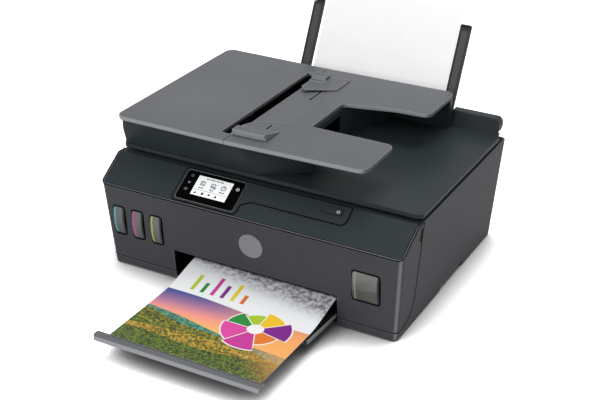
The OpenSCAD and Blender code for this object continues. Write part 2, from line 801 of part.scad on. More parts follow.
module motor_pinion() color("#d0b060") {
    gear(pinion_teeth, pinion_y, pinion_z, pinion_turn);
    rod_x(gear_x0 + gear_w - 1, motor_x0 + 7, pinion_y, pinion_z, 1.5);
}

module feed_motor() color("#8f9296")
    difference() {
        rod_x(motor_x0, motor_x0 + 32, pinion_y, pinion_z, 13);
        rod_x(motor_x0 - 1, motor_x0 + 8, pinion_y, pinion_z, 1.5 + pin_gap);
    }

// --- rear feed: t runs up along the leaning sheet, the sheet's front face is at y = 0 ---
module on_feed() {
    translate([0, feed_y, side_top]) rotate([-feed_lean, 0, 0]) children();
}
sheet_t = 0.25;
sheet_drop = 100;
support_w = 16;
support_t = 6.5;
support_x = [path_x0 - 21.5, path_x1 + 0.7];
ramp_r = 37;
guide_t = 2;
pick_r = 13;
pick_shaft_r = 3.5;
pick_y = -pick_r - 0.3;
pick_t = -80;
ramp_c = [feed_y + 1.5 * cos(feed_lean) - sheet_drop * sin(feed_lean) - ramp_r * cos(feed_lean),
    side_top - 1.5 * sin(feed_lean) - sheet_drop * cos(feed_lean) + ramp_r * sin(feed_lean)];
RAMP_STEPS = 14;
function ramp(r) = [for (i = [0:RAMP_STEPS]) let (a = -90 + (90 - feed_lean) * i / RAMP_STEPS)
    ramp_c + r * [cos(a), sin(a)]];
function reversed(v) = [for (i = [len(v) - 1:-1:0]) v[i]];

// Blocks that hold the two supports, with the ribs that join them
module feed_blocks() {
    for (x = support_x) translate([x - 3, -4, -sheet_drop - 4])
        cube([support_w + 6, support_t + 7.5, sheet_drop - 4]);
    for (t = [-90, -40]) translate([support_x[0] - 3, 1.5 + guide_t, t])
        cube([support_x[1] - support_x[0] + support_w + 6, 6, 3]);
}

// Room for a support, with play all round
module support_room(x) {
    translate([x - 0.4, -1.4, -sheet_drop - 8]) cube([support_w + 0.8, support_t + 0.8, 2 * sheet_drop]);
}

module feed_guide() color("#232426") {
    low = ramp(ramp_r + guide_t);
    side_profile(path_x0 - 1, path_x1 + 0.5)
        polygon(concat([[feed_roller_y + 12, ramp_c.y - ramp_r]], ramp(ramp_r),
            reversed(low), [[feed_roller_y + 12, ramp_c.y - ramp_r - guide_t]]));
    on_feed() {
        translate([path_x0 - 1, 1.5, -sheet_drop]) cube([paper_w + 1.5, guide_t, sheet_drop - 4]);
        for (x = [support_x[0] - 3, support_x[1] + support_w + 0.4]) difference() {
            translate([x, pick_y - 7, pick_t - 10]) cube([2.6, 6 - pick_y, 20]);
            rod_x(x - 1, x + 4, pick_y, pick_t, pick_shaft_r + pin_gap);
        }
        difference() {
            feed_blocks();
            for (x = support_x) support_room(x);
            translate([path_x0 - 0.5, -0.8, -2 * sheet_drop]) cube([paper_w + 0.8, 2.3, 3 * sheet_drop]);
        }
    }
    for (x = [path_x0 + 4, path_x0 + 140]) side_profile(x, x + 3)
        polygon([[70, floor_z], [118, floor_z], [118, 52], [70, ramp_c.y - ramp_r - guide_t]]);
}

module paper_support(x, outer) color("#3f4042")
    on_feed() difference() {
        translate([x, -1, support_top - support_l]) cube([support_w, support_t, support_l]);
        translate([x + 2.2, -2, support_top - support_l + 8]) cube([support_w - 4.4, 2, support_l - 13]);
        translate([x + (outer > 0 ? support_w - 3 : -1), -2, support_top - 1.5]) cube([4, support_t + 2, 3]);
    }

module paper_support_left() paper_support(support_x[0], -1);
module paper_support_right() paper_support(support_x[1], 1);

module input_paper() color("#f0f0f0")
    on_feed() translate([path_x0 + 0.1, 0, -sheet_drop + 1.5]) cube([paper_w - 0.2, sheet_t, paper_l]);

module pick_roller() color("#1c1c1c")
    on_feed() {
        rod_x(paper_x - 14, paper_x + 14, pick_y, pick_t, pick_r);
        rod_x(support_x[0] - 4, support_x[1] + support_w + 4, pick_y, pick_t, pick_shaft_r);
    }

// --- output tray: y runs into the machine from the fascia, z out of the tray ---
module on_tray_slope() {
    translate([0, -174, tray_z]) rotate([-tray_slope, 0, 0]) children();
}
tray_in = 50;
tray_len = tray_out + tray_in;
ext_gap = 0.4;
ext_x0 = tray_x0 + 12;
ext_x1 = tray_x1 - 20;
ext_z0 = -tray_t + 2 + ext_gap;
ext_t = 2;
lip_h = 7.5;

module output_tray() color("#2d2e30")
    on_tray_slope() difference() {
        translate([tray_x0, -tray_out, -tray_t]) cube([tray_x1 - tray_x0, tray_len, tray_t]);
        translate([ext_x0 - ext_gap, -tray_out - 1, -tray_t + 2])
            cube([ext_x1 - ext_x0 + 2 * ext_gap, tray_len + 2, tray_t]);
        translate([tray_x1 - 1.5, -tray_out - 1, -tray_t + 1.6]) cube([3, tray_len + 2, tray_t - 3.2]);
    }

module tray_extension() color("#6f7073")
    on_tray_slope() {
        translate([ext_x0, -lip_out + 2, ext_z0]) cube([ext_x1 - ext_x0, lip_out - 2 - 55, ext_t]);
        difference() {
            side_profile(lip_x0, lip_x1) translate([-lip_out, 0]) polygon(outline([[0, -lip_h, 1.5],
                [lip_d, ext_z0, 0.5], [lip_d, -0.3, 0.5], [0.8, -0.3, 1.5]]));
            translate([lip_x0, -lip_out, 0]) rotate(45) cube([7, 7, 4 * lip_h], center = true);
        }
    }

// --- printed page: leaves the exit roller, sags and lies on the tray ---
page_t = 0.25;
page_x0 = lip_x0 + 19.5;
PAGE_STEPS = 12;
page_flat_y = -245;
page_drop_y = -152;
page_front_y = -370;
page_back_y = exit_roller_y - feed_r - 1;
page_flat_z = 28.4;
page_back_z = path_z - 1.8;
// The sheet leaves the roller level, sags in an S-curve and lies along the tray
function page_z(y) = y < page_flat_y ? page_flat_z + 1.1 * (page_flat_y - y) / (page_flat_y - page_front_y) :
    let (u = (y - page_flat_y) / (page_drop_y - page_flat_y))
        page_flat_z + (page_back_z - page_flat_z) * u * u * (3 - 2 * u);
function page_line(dz) = concat([[page_front_y, page_z(page_front_y) + dz]],
    [for (i = [0:PAGE_STEPS]) let (y = page_flat_y + (page_drop_y - page_flat_y) * i / PAGE_STEPS)
        [y, page_z(y) + dz]],
    [[page_back_y, page_back_z + dz]]);

module printed_page() color("#e8e8e8")
    side_profile(page_x0, page_x0 + paper_w) polygon(concat(page_line(0), reversed(page_line(page_t))));

// --- scanner unit: top case with the sloping control panel ---
unit_inset = wall + run_gap;
mouth_x0 = -125;
mouth_x1 = 160;
glass_z1 = deck_top - 0.2;
glass_z0 = glass_z1 - glass_t;
glass_lip = 5;
ledge_t = 3;
slope_len = (deck_top - fascia_top) / sin(slope_angle);
panel_h = 1;
panel_depth = 4;
panel_gap = 0.5;
button_x = strip_x1 - 24;
button_s = strip_s0 + 17;
tower_r = 6.2;
tower_foot_y = 167;
boss_r = pivot_r + 3;

// The scanner unit's outside, or with a skin its inside
module unit_shape(z0, z1, skin) {
    difference() {
        tapered_block(z0, z1, unit_inset + skin);
        above_slope(-skin);
        box(mouth_x0 - skin, mouth_x1 + skin, unit_rear - skin, body_d, 0, 2 * deck_top);
        box(-body_w, body_w, arm_rear - skin, body_d, 0, 2 * deck_top);
    }
}

module glass_area(grow, z0, z1) {
    x = glass_l / 2 + grow;
    y = glass_w / 2 + grow;
    box(-x, x, glass_y - y, glass_y + y, z0, z1);
}

module tower_profile(r) {
    translate([lid_pivot_y, lid_pivot_z]) circle(r = r, $fn = 64);
    polygon([[tower_foot_y - r, deck_top - wall], [tower_foot_y + r, deck_top - wall],
        [lid_pivot_y + r, lid_pivot_z], [lid_pivot_y - r, lid_pivot_z]]);
}

module panel_outline(gap) {
    x0 = lens_x0 - 4 - gap;
    x1 = lens_x1 + 4 + gap;
    s1 = slope_len - 0.5 + gap;
    s0 = lens_s0 - 2.5 - gap;
    x2 = strip_x1 + gap;
    polygon(outline([[x0, s0, 6], [x1, s0, 6], [x1 + 1, strip_s0 - 8 - gap, 1], [x1 + 14, strip_s0 - gap, 6],
        [x2, strip_s0 - gap, 8], [x2, s1, 1], [x0, s1, 4]]));
}

module button_outline(gap) {
    plate(button_x - button_w / 2 - gap, button_s - button_h / 2 - gap,
        button_x + button_w / 2 + gap, button_s + button_h / 2 + gap, 1.5 + gap);
}

module lens_outline(gap) {
    plate(lens_x0 - gap, lens_s0 - gap, lens_x1 + gap, lens_s1 + gap, 5 + gap);
}

module top_case() color("#30373a")
    difference() {
        union() {
            difference() {
                unit_shape(unit_bottom, deck_top, 0);
                unit_shape(unit_bottom + wall, deck_top - wall, wall);
            }
            glass_area(4, glass_z0 - ledge_t, glass_z0 + 1);
            for (side = [-1, 1]) mirrored(side) {
                rod_x(tower_x + tower_w, side_x(unit_pivot_z) - unit_inset - 1,
                    unit_pivot_y, unit_pivot_z, boss_r);
                side_profile(tower_x - tower_w / 2, tower_x + tower_w / 2) tower_profile(tower_r);
            }
        }
        glass_area(0.3, glass_z0, deck_top + 1);
        glass_area(-glass_lip, glass_z0 - ledge_t - 1, deck_top + 1);
        on_slope() translate([0, 0, -panel_depth - 2]) linear_extrude(10) panel_outline(panel_gap);
        for (side = [-1, 1]) mirrored(side) {
            rod_x(tower_x, body_w / 2, unit_pivot_y, unit_pivot_z, pivot_r + pin_gap);
            rod_x(tower_x - tower_w, tower_x + tower_w, lid_pivot_y, lid_pivot_z, lid_pin_r + pin_gap);
        }
    }

module control_panel() color("#2c3336")
    on_slope() difference() {
        translate([0, 0, -panel_depth]) linear_extrude(panel_depth + panel_h) panel_outline(0);
        translate([0, 0, -0.6]) linear_extrude(3) lens_outline(0.15);
        translate([0, 0, -panel_depth - 1]) linear_extrude(8) button_outline(0.4);
    }

screen_x = (lens_x0 + lens_x1) / 2 + 1;
screen_s = (lens_s0 + lens_s1) / 2 + 2.5;
module screen_outline(gap) {
    plate(screen_x - screen_w / 2 - gap, screen_s - screen_h / 2 - gap,
        screen_x + screen_w / 2 + gap, screen_s + screen_h / 2 + gap, 1 + gap);
}

module display_lens() color("#0b0c0e")
    on_slope() translate([0, 0, -0.6]) linear_extrude(2.2) difference() {
        lens_outline(0);
        screen_outline(0.1);
    }

module display_screen() color("#e9eef2")
    on_slope() translate([0, 0, -0.6]) linear_extrude(2.1) screen_outline(0);

module power_button() color("#3a4043")
    on_slope() {
        translate([0, 0, -panel_depth - 0.5]) linear_extrude(panel_depth + 2.3) button_outline(0);
        translate([0, 0, -panel_depth - 1.6]) linear_extrude(1.2) button_outline(1.6);
    }

module scanner_glass() color("#b9cdd2") glass_area(0, glass_z0, glass_z1);

bar_w = 24;
bar_x = -glass_l / 2 + glass_lip + bar_w / 2 + 1;
bar_y0 = glass_y - glass_w / 2 + 1;
bar_y1 = glass_y + glass_w / 2 - 1;
bar_z0 = unit_bottom + wall + 2;
bar_z1 = glass_z0 - ledge_t - 0.8;
rail_w = 10;
rail_z1 = bar_z0 + 3;

module scan_bar() color("#1e2022")
    difference() {
        box(bar_x - bar_w / 2, bar_x + bar_w / 2, bar_y0, bar_y1, bar_z0, bar_z1);
        box(bar_x - bar_w, bar_x + bar_w, glass_y - rail_w / 2 - 0.4, glass_y + rail_w / 2 + 0.4,
            bar_z0 - 1, rail_z1 + 0.4);
        box(bar_x + 3, bar_x + 7, bar_y0 + 6, bar_y1 - 6, bar_z1 - 2, bar_z1 + 1);
        box(bar_x - 8, bar_x - 2, bar_y0 + 6, bar_y1 - 6, bar_z1 - 1, bar_z1 + 1);
    }

module scan_rail() color("#c4c6c8")
    box(-glass_l / 2 - 4, glass_l / 2 + 4, glass_y - rail_w / 2, glass_y + rail_w / 2,
        unit_bottom + wall, rail_z1);

// --- lid ---
lid_z0 = deck_top + lid_gap;
lid_z1 = lid_z0 + lid_t;
lid_hollow = 3.5;
pad_l = glass_l - 2 * glass_lip;
pad_w = glass_w - 2 * glass_lip;
pad_z0 = deck_top + 0.3;
block_top = 190;
block_rear = 181;
block_skin = 2.4;
tower_gap = 0.6;
block_w = 73;
block_end_r = 10;
block_x = [[lid_x - 4 - block_w, lid_x - 4], [4 - lid_x, block_w + 4 - lid_x]];
block_front = 160.5;

module lid_plan(inset) {
    plate(-lid_x + inset, lid_y0 + inset, lid_x - inset, lid_y1 - inset, lid_corner_r - inset);
}

module block_profile() {
    polygon(outline([[block_front, lid_z1 - 0.1, 0], [166, block_top, 2.5], [block_rear, block_top, 2.5],
        [block_rear, lid_z1 + 9, 0], [lid_y1, lid_z0, 0], [block_front, lid_z0, 0]]));
}

// Block over a hinge tower; its outer end is rounded off and stands clear of the plate's corner
module hinge_block(x0, x1) {
    right = x1 > 0;
    difference() {
        intersection() {
            side_profile(x0, x1) block_profile();
            translate([0, body_d, 0]) rotate([90, 0, 0]) linear_extrude(body_d)
                polygon(outline([[x0, 0, 0], [x1, 0, 0], [x1, block_top, right ? block_end_r : 2],
                    [x0, block_top, right ? 2 : block_end_r]]));
        }
        translate([right ? x1 - 3 : x0 - 1, block_front + 1, lid_z1 + 0.5]) cube([4, body_d, 4]);
    }
}

// Room for a hinge tower, from its front face through the rear of the block
module tower_room() {
    r = tower_r + tower_gap;
    front_y0 = tower_foot_y - r;
    translate([lid_pivot_y, lid_pivot_z]) circle(r = r, $fn = 64);
    polygon([[front_y0 - 0.4, lid_z0 - 2], [lid_pivot_y - r, lid_pivot_z], [lid_pivot_y - 1, lid_pivot_z + 1],
        [200, lid_pivot_z + 1], [200, lid_z0 - 2]]);
}

module lid_plate() color("#33393c")
    difference() {
        union() {
            difference() {
                translate([0, 0, lid_z0]) linear_extrude(lid_t) lid_plan(0);
                difference() {
                    translate([0, 0, lid_z0 - 1]) linear_extrude(lid_hollow + 1) lid_plan(wall);
                    translate([0, glass_y, 0]) linear_extrude(2 * lid_z1)
                        square([pad_l + 6, pad_w + 6], true);
                    box(-lid_x, lid_x, 140, body_d, 0, 2 * lid_z1);
                }
            }
            for (b = block_x) hinge_block(b[0], b[1]);
            for (side = [-1, 1]) mirrored(side) box(196, 212, -120, -110, deck_top + 0.4, lid_z0 + 4);
        }
        box(block_x[1][1], block_x[0][0], body_rear, body_d, lid_z0 - 1, lid_z1 + 1);
        for (side = [-1, 1]) mirrored(side) {
            side_profile(tower_x - tower_w / 2 - tower_gap, tower_x + tower_w / 2 + tower_gap) tower_room();
            rod_x(tower_x - tower_w / 2 - 8, tower_x + tower_w / 2 + 8, lid_pivot_y, lid_pivot_z, lid_pin_r);
        }
    }

module hinge_pins() color("#b4b6b8")
    for (side = [-1, 1]) mirrored(side)
        rod_x(tower_x - tower_w / 2 - 8, tower_x + tower_w / 2 + 8, lid_pivot_y, lid_pivot_z, lid_pin_r);

module document_pad() color("#f4f4f2")
    box(-pad_l / 2, pad_l / 2, glass_y - pad_w / 2, glass_y + pad_w / 2, pad_z0, lid_z0);

// --- document feeder ---
adf_z0 = adf_top - adf_t;
body_x0 = adf_x0 + 3.5;
body_front_top = -141;
body_front_low = -126;
body_rear = 160;
body_x1 = adf_x1 - 2;
body_wall_x = bay_x + 2;
body_side_x = 62;
cover_pin_x = body_x0 + 3;
cover_pin_z = adf_z0 - 11.5;
cover_pin_r = 1.6;
knuckle_r = 3.4;
knuckles_y = [-104, 92];
knuckle_l = 30;

// Tilts what stands on the tray by the tray's rise
module on_tray() {
    translate([adf_split_x, 0, adf_z0]) rotate([0, -tray_rise, 0]) translate([-adf_split_x, 0, -adf_z0])
        children();
}

// Plan of the feeder's body; inset moves every wall inwards
module adf_plan(i) {
    polygon(outline([[body_x0 + i, body_front_top - 2, 12], [-34.6 - 0.3 * i, body_front_top - 2, 24],
        [52 - i, -82 + i, 5], [body_wall_x + 5 - i, -60, 5],
        [body_wall_x - i, -44, 4], [body_wall_x - i, 44, 4],
        [body_side_x - 26 - i, 60, 5], [body_side_x - i, 147 + i, 2], [body_x1 - i, 148 + i, 1],
        [body_x1 - i, body_rear - i, 1], [body_x0 + i, body_rear - i, 12]]));
}

module adf_shape(i, z0) {
    difference() {
        translate([0, 0, z0]) linear_extrude(adf_top - z0) adf_plan(i);
        side_profile(-body_w, body_w) polygon([[-200, 0], [body_front_low + i, 0],
            [body_front_low + i, lid_z1], [body_front_top + i, adf_z0], [body_front_top + i, 2 * adf_z0],
            [-200, 2 * adf_z0]]);
    }
}

feeder_rollers = [[-92, adf_z0 - 14, 9], [-150, adf_z0 - 18, 14]];
rib_y = [-62, 78];
rib_t = 3;
feeder_shaft_r = 3;

module adf_body() color("#2e3436")
    difference() {
        union() {
            difference() {
                adf_shape(0, lid_z1);
                adf_shape(wall, lid_z1 + wall);
            }
            for (y = rib_y) box(feeder_rollers[1].x - 40, feeder_rollers[0].x + 18,
                y - rib_t / 2, y + rib_t / 2, lid_z1 + wall - 0.1, adf_z0 - 9);
            for (y = knuckles_y) box(body_x0 + 1, cover_pin_x + knuckle_r + 3,
                y - knuckle_l / 2 - 5, y + knuckle_l / 2 + 5, cover_pin_z - knuckle_r - 3, adf_z0 - seam);
        }
        box(-body_w, adf_split_x, -body_d, body_d, adf_z0 - seam, 2 * adf_z0);
        on_tray() box(adf_split_x - 1, body_w, -body_d, body_d, adf_z0 - seam, 2 * adf_z0);
        box(body_wall_x - 6, body_wall_x + 6, -38, 38, lid_z1 + wall, lid_z1 + 34);
        box(body_x0 - 5, body_x0 + 1.8, -200, 200, adf_z0 - 1.5, adf_z0 + 1);
        for (y = knuckles_y) {
            box(body_x0 - 5, cover_pin_x + knuckle_r + 0.6, y - knuckle_l / 2, y + knuckle_l / 2,
                cover_pin_z - knuckle_r - 0.6, adf_z0 + 1);
            rod_y(y - knuckle_l / 2 - 4, y + knuckle_l / 2 + 4,
                cover_pin_x, cover_pin_z, cover_pin_r + pin_gap);
        }
        for (f = feeder_rollers, y = rib_y)
            rod_y(y - rib_t, y + rib_t, f.x, f.y, feeder_shaft_r + pin_gap);
    }

module feeder_roller(f) {
    rod_y(rib_y[0] - rib_t / 2 - 3, rib_y[1] + rib_t / 2 + 3, f.x, f.y, feeder_shaft_r);
    for (y = [-38, 22]) rod_y(y, y + 32, f.x, f.y, f.z);
}

module adf_pick_roller() color("#26282a") feeder_roller(feeder_rollers[0]);
module adf_feed_roller() color("#26282a") feeder_roller(feeder_rollers[1]);

module adf_cover() color("#6f7074") {
    translate([0, 0, adf_z0]) linear_extrude(adf_t)
        polygon(outline([[adf_x0, adf_y0, adf_corner_r], [adf_split_x, adf_y0, 0], [adf_split_x, slot_y0, 1],
            [slot_x, slot_y0, 1], [slot_x, slot_y1, 1], [adf_split_x, slot_y1, 1],
            [adf_split_x, adf_y1, 0], [adf_x0, adf_y1, adf_corner_r]]));
    for (y = knuckles_y) {
        rod_y(y - knuckle_l / 2 + 0.4, y + knuckle_l / 2 - 0.4, cover_pin_x, cover_pin_z, knuckle_r);
        box(cover_pin_x - 2, cover_pin_x + knuckle_r, y - knuckle_l / 2 + 0.4, y + knuckle_l / 2 - 0.4,
            cover_pin_z, adf_z0 + 1);
        rod_y(y - knuckle_l / 2 - 3.5, y + knuckle_l / 2 + 3.5, cover_pin_x, cover_pin_z, cover_pin_r);
    }
}

tray_gap = 0.5;
ramp_x0 = slot_x + slot_w;
ramp_top_x = 0;
ramp_y0 = -88;
ramp_y1 = 115;
ramp_drop = 5;
slit_x = -21;
slit_w = 4;
slit_front_y = [-121, -66];
slit_rear_y = [39, 131];

module tray_plan() {
    polygon(outline([[adf_split_x + tray_gap, adf_y0, 0], [adf_x1, adf_y0 + 3, 14], [adf_x1, -52.6, 12],
        [bay_x, -48, 0.8], [bay_x, 48, 12], [50, 52, 4], [100, 64, 4], [adf_x1, 66.6, 12],
        [adf_x1, adf_y1 + 1, 14], [adf_split_x + tray_gap, adf_y1, 0],
        [adf_split_x + tray_gap, slot_y1 - tray_gap, 0],
        [slot_x + tray_gap, slot_y1 - tray_gap, 0], [slot_x + tray_gap, slot_y0 + tray_gap, 0],
        [adf_split_x + tray_gap, slot_y0 + tray_gap, 0]]));
}

// Wedge below the ramp's surface, seen from the front; drop lowers it
module ramp_wedge(y0, y1, z_off, h) {
    translate([0, y1, 0]) rotate([90, 0, 0]) linear_extrude(y1 - y0)
        polygon([[ramp_top_x, adf_top + z_off], [ramp_x0, adf_top - ramp_drop + z_off],
            [ramp_x0, adf_top - ramp_drop + z_off + h], [ramp_top_x, adf_top + z_off + h]]);
}

module adf_tray() color("#6f7074")
    on_tray() difference() {
        union() {
            translate([0, 0, adf_z0]) linear_extrude(adf_t) tray_plan();
            ramp_wedge(ramp_y0 - 2, ramp_y1 + 2, -2.5, 2.6);
        }
        intersection() {
            ramp_wedge(ramp_y0, ramp_y1, 0, 20);
            translate([0, 0, adf_z0 - 5]) linear_extrude(40) polygon([[ramp_x0 - 1, ramp_y0], [-47, -68],
                [ramp_top_x, -47], [ramp_top_x, ramp_y1], [ramp_x0 - 1, ramp_y1]]);
        }
        box(slot_x - 5, ramp_x0, slot_y0 - 1, slot_y1 + 1, adf_z0 - 5, adf_top + 5);
        for (slit = [slit_front_y, slit_rear_y])
            box(slit_x - slit_w / 2, slit_x + slit_w / 2, slit[0], slit[1], adf_z0 - 5, adf_top + 5);
    }

// --- paper guides of the feeder: each slides on the tray and is held through a slit ---
guide_gap = 0.4;
guide_h = 8.6;
guide_x0 = adf_split_x + 0.6;
guide_x1 = 0.5;
front_guide_y = [-124, -87];
rear_guide_y = [65, 130];
guide_front_foot_y = -112;
guide_rear_foot_y = 121;

module guide_foot(y) {
    neck = slit_w / 2 - guide_gap;
    box(slit_x - neck, slit_x + neck, y - 3, y + 3, adf_z0 - 2, adf_top + 2);
    box(slit_x - slit_w, slit_x + slit_w, y - 3, y + 3, adf_z0 - 3.4, adf_z0 - 1);
}

// Front view that both guides are cut to: the right end slopes
module guide_front_view() {
    translate([0, body_d, adf_top]) rotate([90, 0, 0]) linear_extrude(2 * body_d)
        polygon([[guide_x0, 0], [guide_x1, 0], [guide_x1 - 4, guide_h], [guide_x0, guide_h]]);
}

module guide_front() color("#7b7c80")
    on_tray() {
        intersection() {
            union() {
                side_profile(guide_x0, guide_x1) translate([0, adf_top])
                    polygon([[front_guide_y[0], guide_gap], [front_guide_y[1], guide_gap],
                        [front_guide_y[1], 1], [-117, guide_h], [front_guide_y[0], guide_h]]);
                box(guide_x0, guide_x0 + 17, front_guide_y[0], -109, adf_top + guide_gap, adf_top + guide_h);
            }
            guide_front_view();
        }
        guide_foot(guide_front_foot_y);
    }

module guide_rear() color("#7b7c80")
    on_tray() {
        translate([0, 0, adf_top + guide_gap]) linear_extrude(1.6)
            polygon([[-42, rear_guide_y[0]], [guide_x1, 86], [guide_x1, rear_guide_y[1]],
                [guide_x0, rear_guide_y[1]], [guide_x0, 75]]);
        box(guide_x0, -28, 99, 122, adf_top + 1, adf_top + 3.4);
        box(guide_x0, -28, 107, 122, adf_top + 1, adf_top + guide_h);
        guide_foot(guide_rear_foot_y);
    }

base_case();
rubber_feet();
front_fascia();
window_gaskets();
tank_cyan();
tank_magenta();
tank_yellow();
tank_black();
cap_cyan();
cap_magenta();
cap_yellow();
cap_black();
rear_cover();
power_inlet();
usb_port();
case_screws();
power_supply();
main_board();
chassis();
carriage_rod();
encoder_strip();
carriage_belt();
carriage_motor();
drive_pulley();
idler_pulley();
carriage();
printheads();
platen();
service_station();
feed_roller();
exit_roller();
idler_gear();
feed_motor();
motor_pinion();
pick_roller();
feed_guide();
paper_support_left();
paper_support_right();
input_paper();
output_tray();
tray_extension();
printed_page();
top_case();
control_panel();
display_lens();
display_screen();
power_button();
scanner_glass();
scan_bar();
scan_rail();
lid_plate();
hinge_pins();
document_pad();
adf_body();
adf_tray();
adf_cover();
guide_front();
guide_rear();
adf_pick_roller();
adf_feed_roller();
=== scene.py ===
import json
import math

import bmesh
import bpy
from mathutils import Matrix, Vector
from mathutils.bvhtree import BVHTree


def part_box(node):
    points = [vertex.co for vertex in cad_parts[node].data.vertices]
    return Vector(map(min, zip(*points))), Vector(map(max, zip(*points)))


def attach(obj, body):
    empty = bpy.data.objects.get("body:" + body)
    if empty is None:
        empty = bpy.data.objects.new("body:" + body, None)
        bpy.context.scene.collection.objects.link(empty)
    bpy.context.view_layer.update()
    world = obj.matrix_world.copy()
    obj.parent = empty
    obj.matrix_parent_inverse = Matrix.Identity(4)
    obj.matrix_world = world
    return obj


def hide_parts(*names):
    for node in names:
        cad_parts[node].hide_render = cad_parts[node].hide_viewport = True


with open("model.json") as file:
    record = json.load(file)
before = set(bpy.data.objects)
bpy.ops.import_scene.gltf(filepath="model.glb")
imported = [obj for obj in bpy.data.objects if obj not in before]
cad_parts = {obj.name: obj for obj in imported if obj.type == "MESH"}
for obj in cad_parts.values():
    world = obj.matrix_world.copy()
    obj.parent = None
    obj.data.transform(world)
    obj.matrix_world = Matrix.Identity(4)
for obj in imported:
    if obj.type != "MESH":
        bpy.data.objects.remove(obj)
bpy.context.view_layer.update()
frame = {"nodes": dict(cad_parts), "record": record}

NODES = frame["nodes"]
MM = 0.001

# --- the printer's own lines and boxes ---
PANEL_TILT = math.radians(31.3)  # slope of the control panel
FEED_LEAN = math.radians(25)  # lean of the paper supports
PAGE_LOW, PAGE_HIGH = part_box("printed_page")
WINDOW_LOW, WINDOW_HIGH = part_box("window_gaskets")

# --- colours, as they look in daylight ---
CASE_GREY = "#444549"
SLATE = "#2a3134"
FEEDER_GREY = "#5e6064"
LIP_GREY = "#67686c"
TRAY_BLACK = "#303134"
SUPPORT_GREY = "#484949"
STUDIO_WHITE = "#f6f6f6"

SATIN_IOR = 1.22  # the moulded plastics reflect little, also at a slant
GLASS_IOR = 1.5

# --- light and camera ---
WORLD_LIGHT = 0.50
FLOOR_HALF = 6.0
FLOOR_WHITE = 1.75  # the floor where it is seen: so pale that only its shadows show
# painted contact shadow: near the printer the seen floor is darkened by ambient occlusion, out to
# CONTACT_REACH and down to CONTACT_SHADE
CONTACT_REACH = 90 * MM  # how far from the printer the floor is darkened
CONTACT_SHADE = 0.30  # the floor right under the printer's edges
CAMERA_PLACE = Vector((736.94, -1473.39, 899.94)) * MM
CAMERA_TURN = math.radians(26.922)
CAMERA_DROP = math.radians(26.521)
CAMERA_ROLL = math.radians(1.436)
CAMERA_LENS = 77.26


def linear(code):
    """Linear red, green and blue of a hex colour."""
    parts = [int(code[i:i + 2], 16) / 255 for i in (1, 3, 5)]
    return [c / 12.92 if c <= 0.04045 else ((c + 0.055) / 1.055) ** 2.4 for c in parts]


def rgba(code):
    return (*linear(code), 1.0)


def grey(value):
    return (value, value, value, 1.0)


# --- shader building ---
class Sheet:
    """A node tree with short ways to add nodes and sums to it."""

    def __init__(self, tree):
        self.tree = tree
        self.column = 0

    def add(self, kind, **settings):
        node = self.tree.nodes.new(kind)
        node.location = (self.column, 0)
        self.column += 40
        for name, value in settings.items():
            setattr(node, name, value)
        return node

    def feed(self, socket, value):
        """Link an output to the socket, or set the socket to a plain value."""
        if isinstance(value, bpy.types.NodeSocket):
            self.tree.links.new(value, socket)
        elif value is not None:
            socket.default_value = value

    def sum(self, operation, a, b=None, c=None):
        node = self.add("ShaderNodeMath", operation=operation)
        for i, value in enumerate((a, b, c)):
            self.feed(node.inputs[i], value)
        return node.outputs[0]

    def product(self, *values):
        result = values[0]
        for value in values[1:]:
            result = self.sum("MULTIPLY", result, value)
        return result

    def mix(self, share, a, b):
        node = self.add("ShaderNodeMix", data_type="RGBA")
        self.feed(node.inputs[0], share)
        self.feed(node.inputs[6], a)
        self.feed(node.inputs[7], b)
        return node.outputs[2]

    def ease(self, value, start, end, low=0.0, high=1.0):
        """low where value is at start, high where it is at end, smooth between them."""
        node = self.add("ShaderNodeMapRange", interpolation_type="SMOOTHSTEP")
        for i, v in enumerate((value, start, end, low, high)):
            self.feed(node.inputs[i], v)
        return node.outputs[0]

    def noise(self, vector, scale, detail=2.0, roughness=0.5):
        node = self.add("ShaderNodeTexNoise")
        self.feed(node.inputs["Vector"], vector)
        node.inputs["Scale"].default_value = scale
        node.inputs["Detail"].default_value = detail
        node.inputs["Roughness"].default_value = roughness
        return node.outputs["Fac"]

    def place(self):
        return self.add("ShaderNodeTexCoord").outputs["Object"]

    def facing(self):
        return self.add("ShaderNodeNewGeometry").outputs["Normal"]

    def split(self, vector):
        node = self.add("ShaderNodeSeparateXYZ")
        self.feed(node.inputs[0], vector)
        return node.outputs[0], node.outputs[1], node.outputs[2]

    def scaled(self, colour, factor):
        node = self.add("ShaderNodeVectorMath", operation="SCALE")
        self.feed(node.inputs[0], colour)
        self.feed(node.inputs["Scale"], factor)
        return node.outputs[0]

    def dot(self, a, b):
        node = self.add("ShaderNodeVectorMath", operation="DOT_PRODUCT")
        self.feed(node.inputs[0], a)
        self.feed(node.inputs[1], b)
        return node.outputs["Value"]

    def ramp(self, value, stops):
        node = self.add("ShaderNodeValToRGB")
        self.feed(node.inputs[0], value)
        ramp = node.color_ramp
        while len(ramp.elements) < len(stops):
            ramp.elements.new(0.5)
        for element, (at, code) in zip(ramp.elements, stops):
            element.position = at
            element.color = rgba(code)
        return node.outputs[0]

    def seen_rays(self):
        """Two masks: rays that see the studio straight, in a gloss or through glass; those in a gloss."""
        light = self.add("ShaderNodeLightPath").outputs
        in_gloss = light["Is Glossy Ray"]
        seen = self.sum("MAXIMUM", light["Is Camera Ray"],
                        self.sum("MAXIMUM", in_gloss, light["Is Transmission Ray"]))
        return seen, in_gloss

    def bump(self, height, depth, strength, normal=None):
        """Relief of depth mm."""
        node = self.add("ShaderNodeBump")
        node.inputs["Distance"].default_value = depth * MM
        self.feed(node.inputs["Strength"], strength)
        self.feed(node.inputs["Height"], height)
        self.feed(node.inputs["Normal"], normal)
        return node.outputs[0]


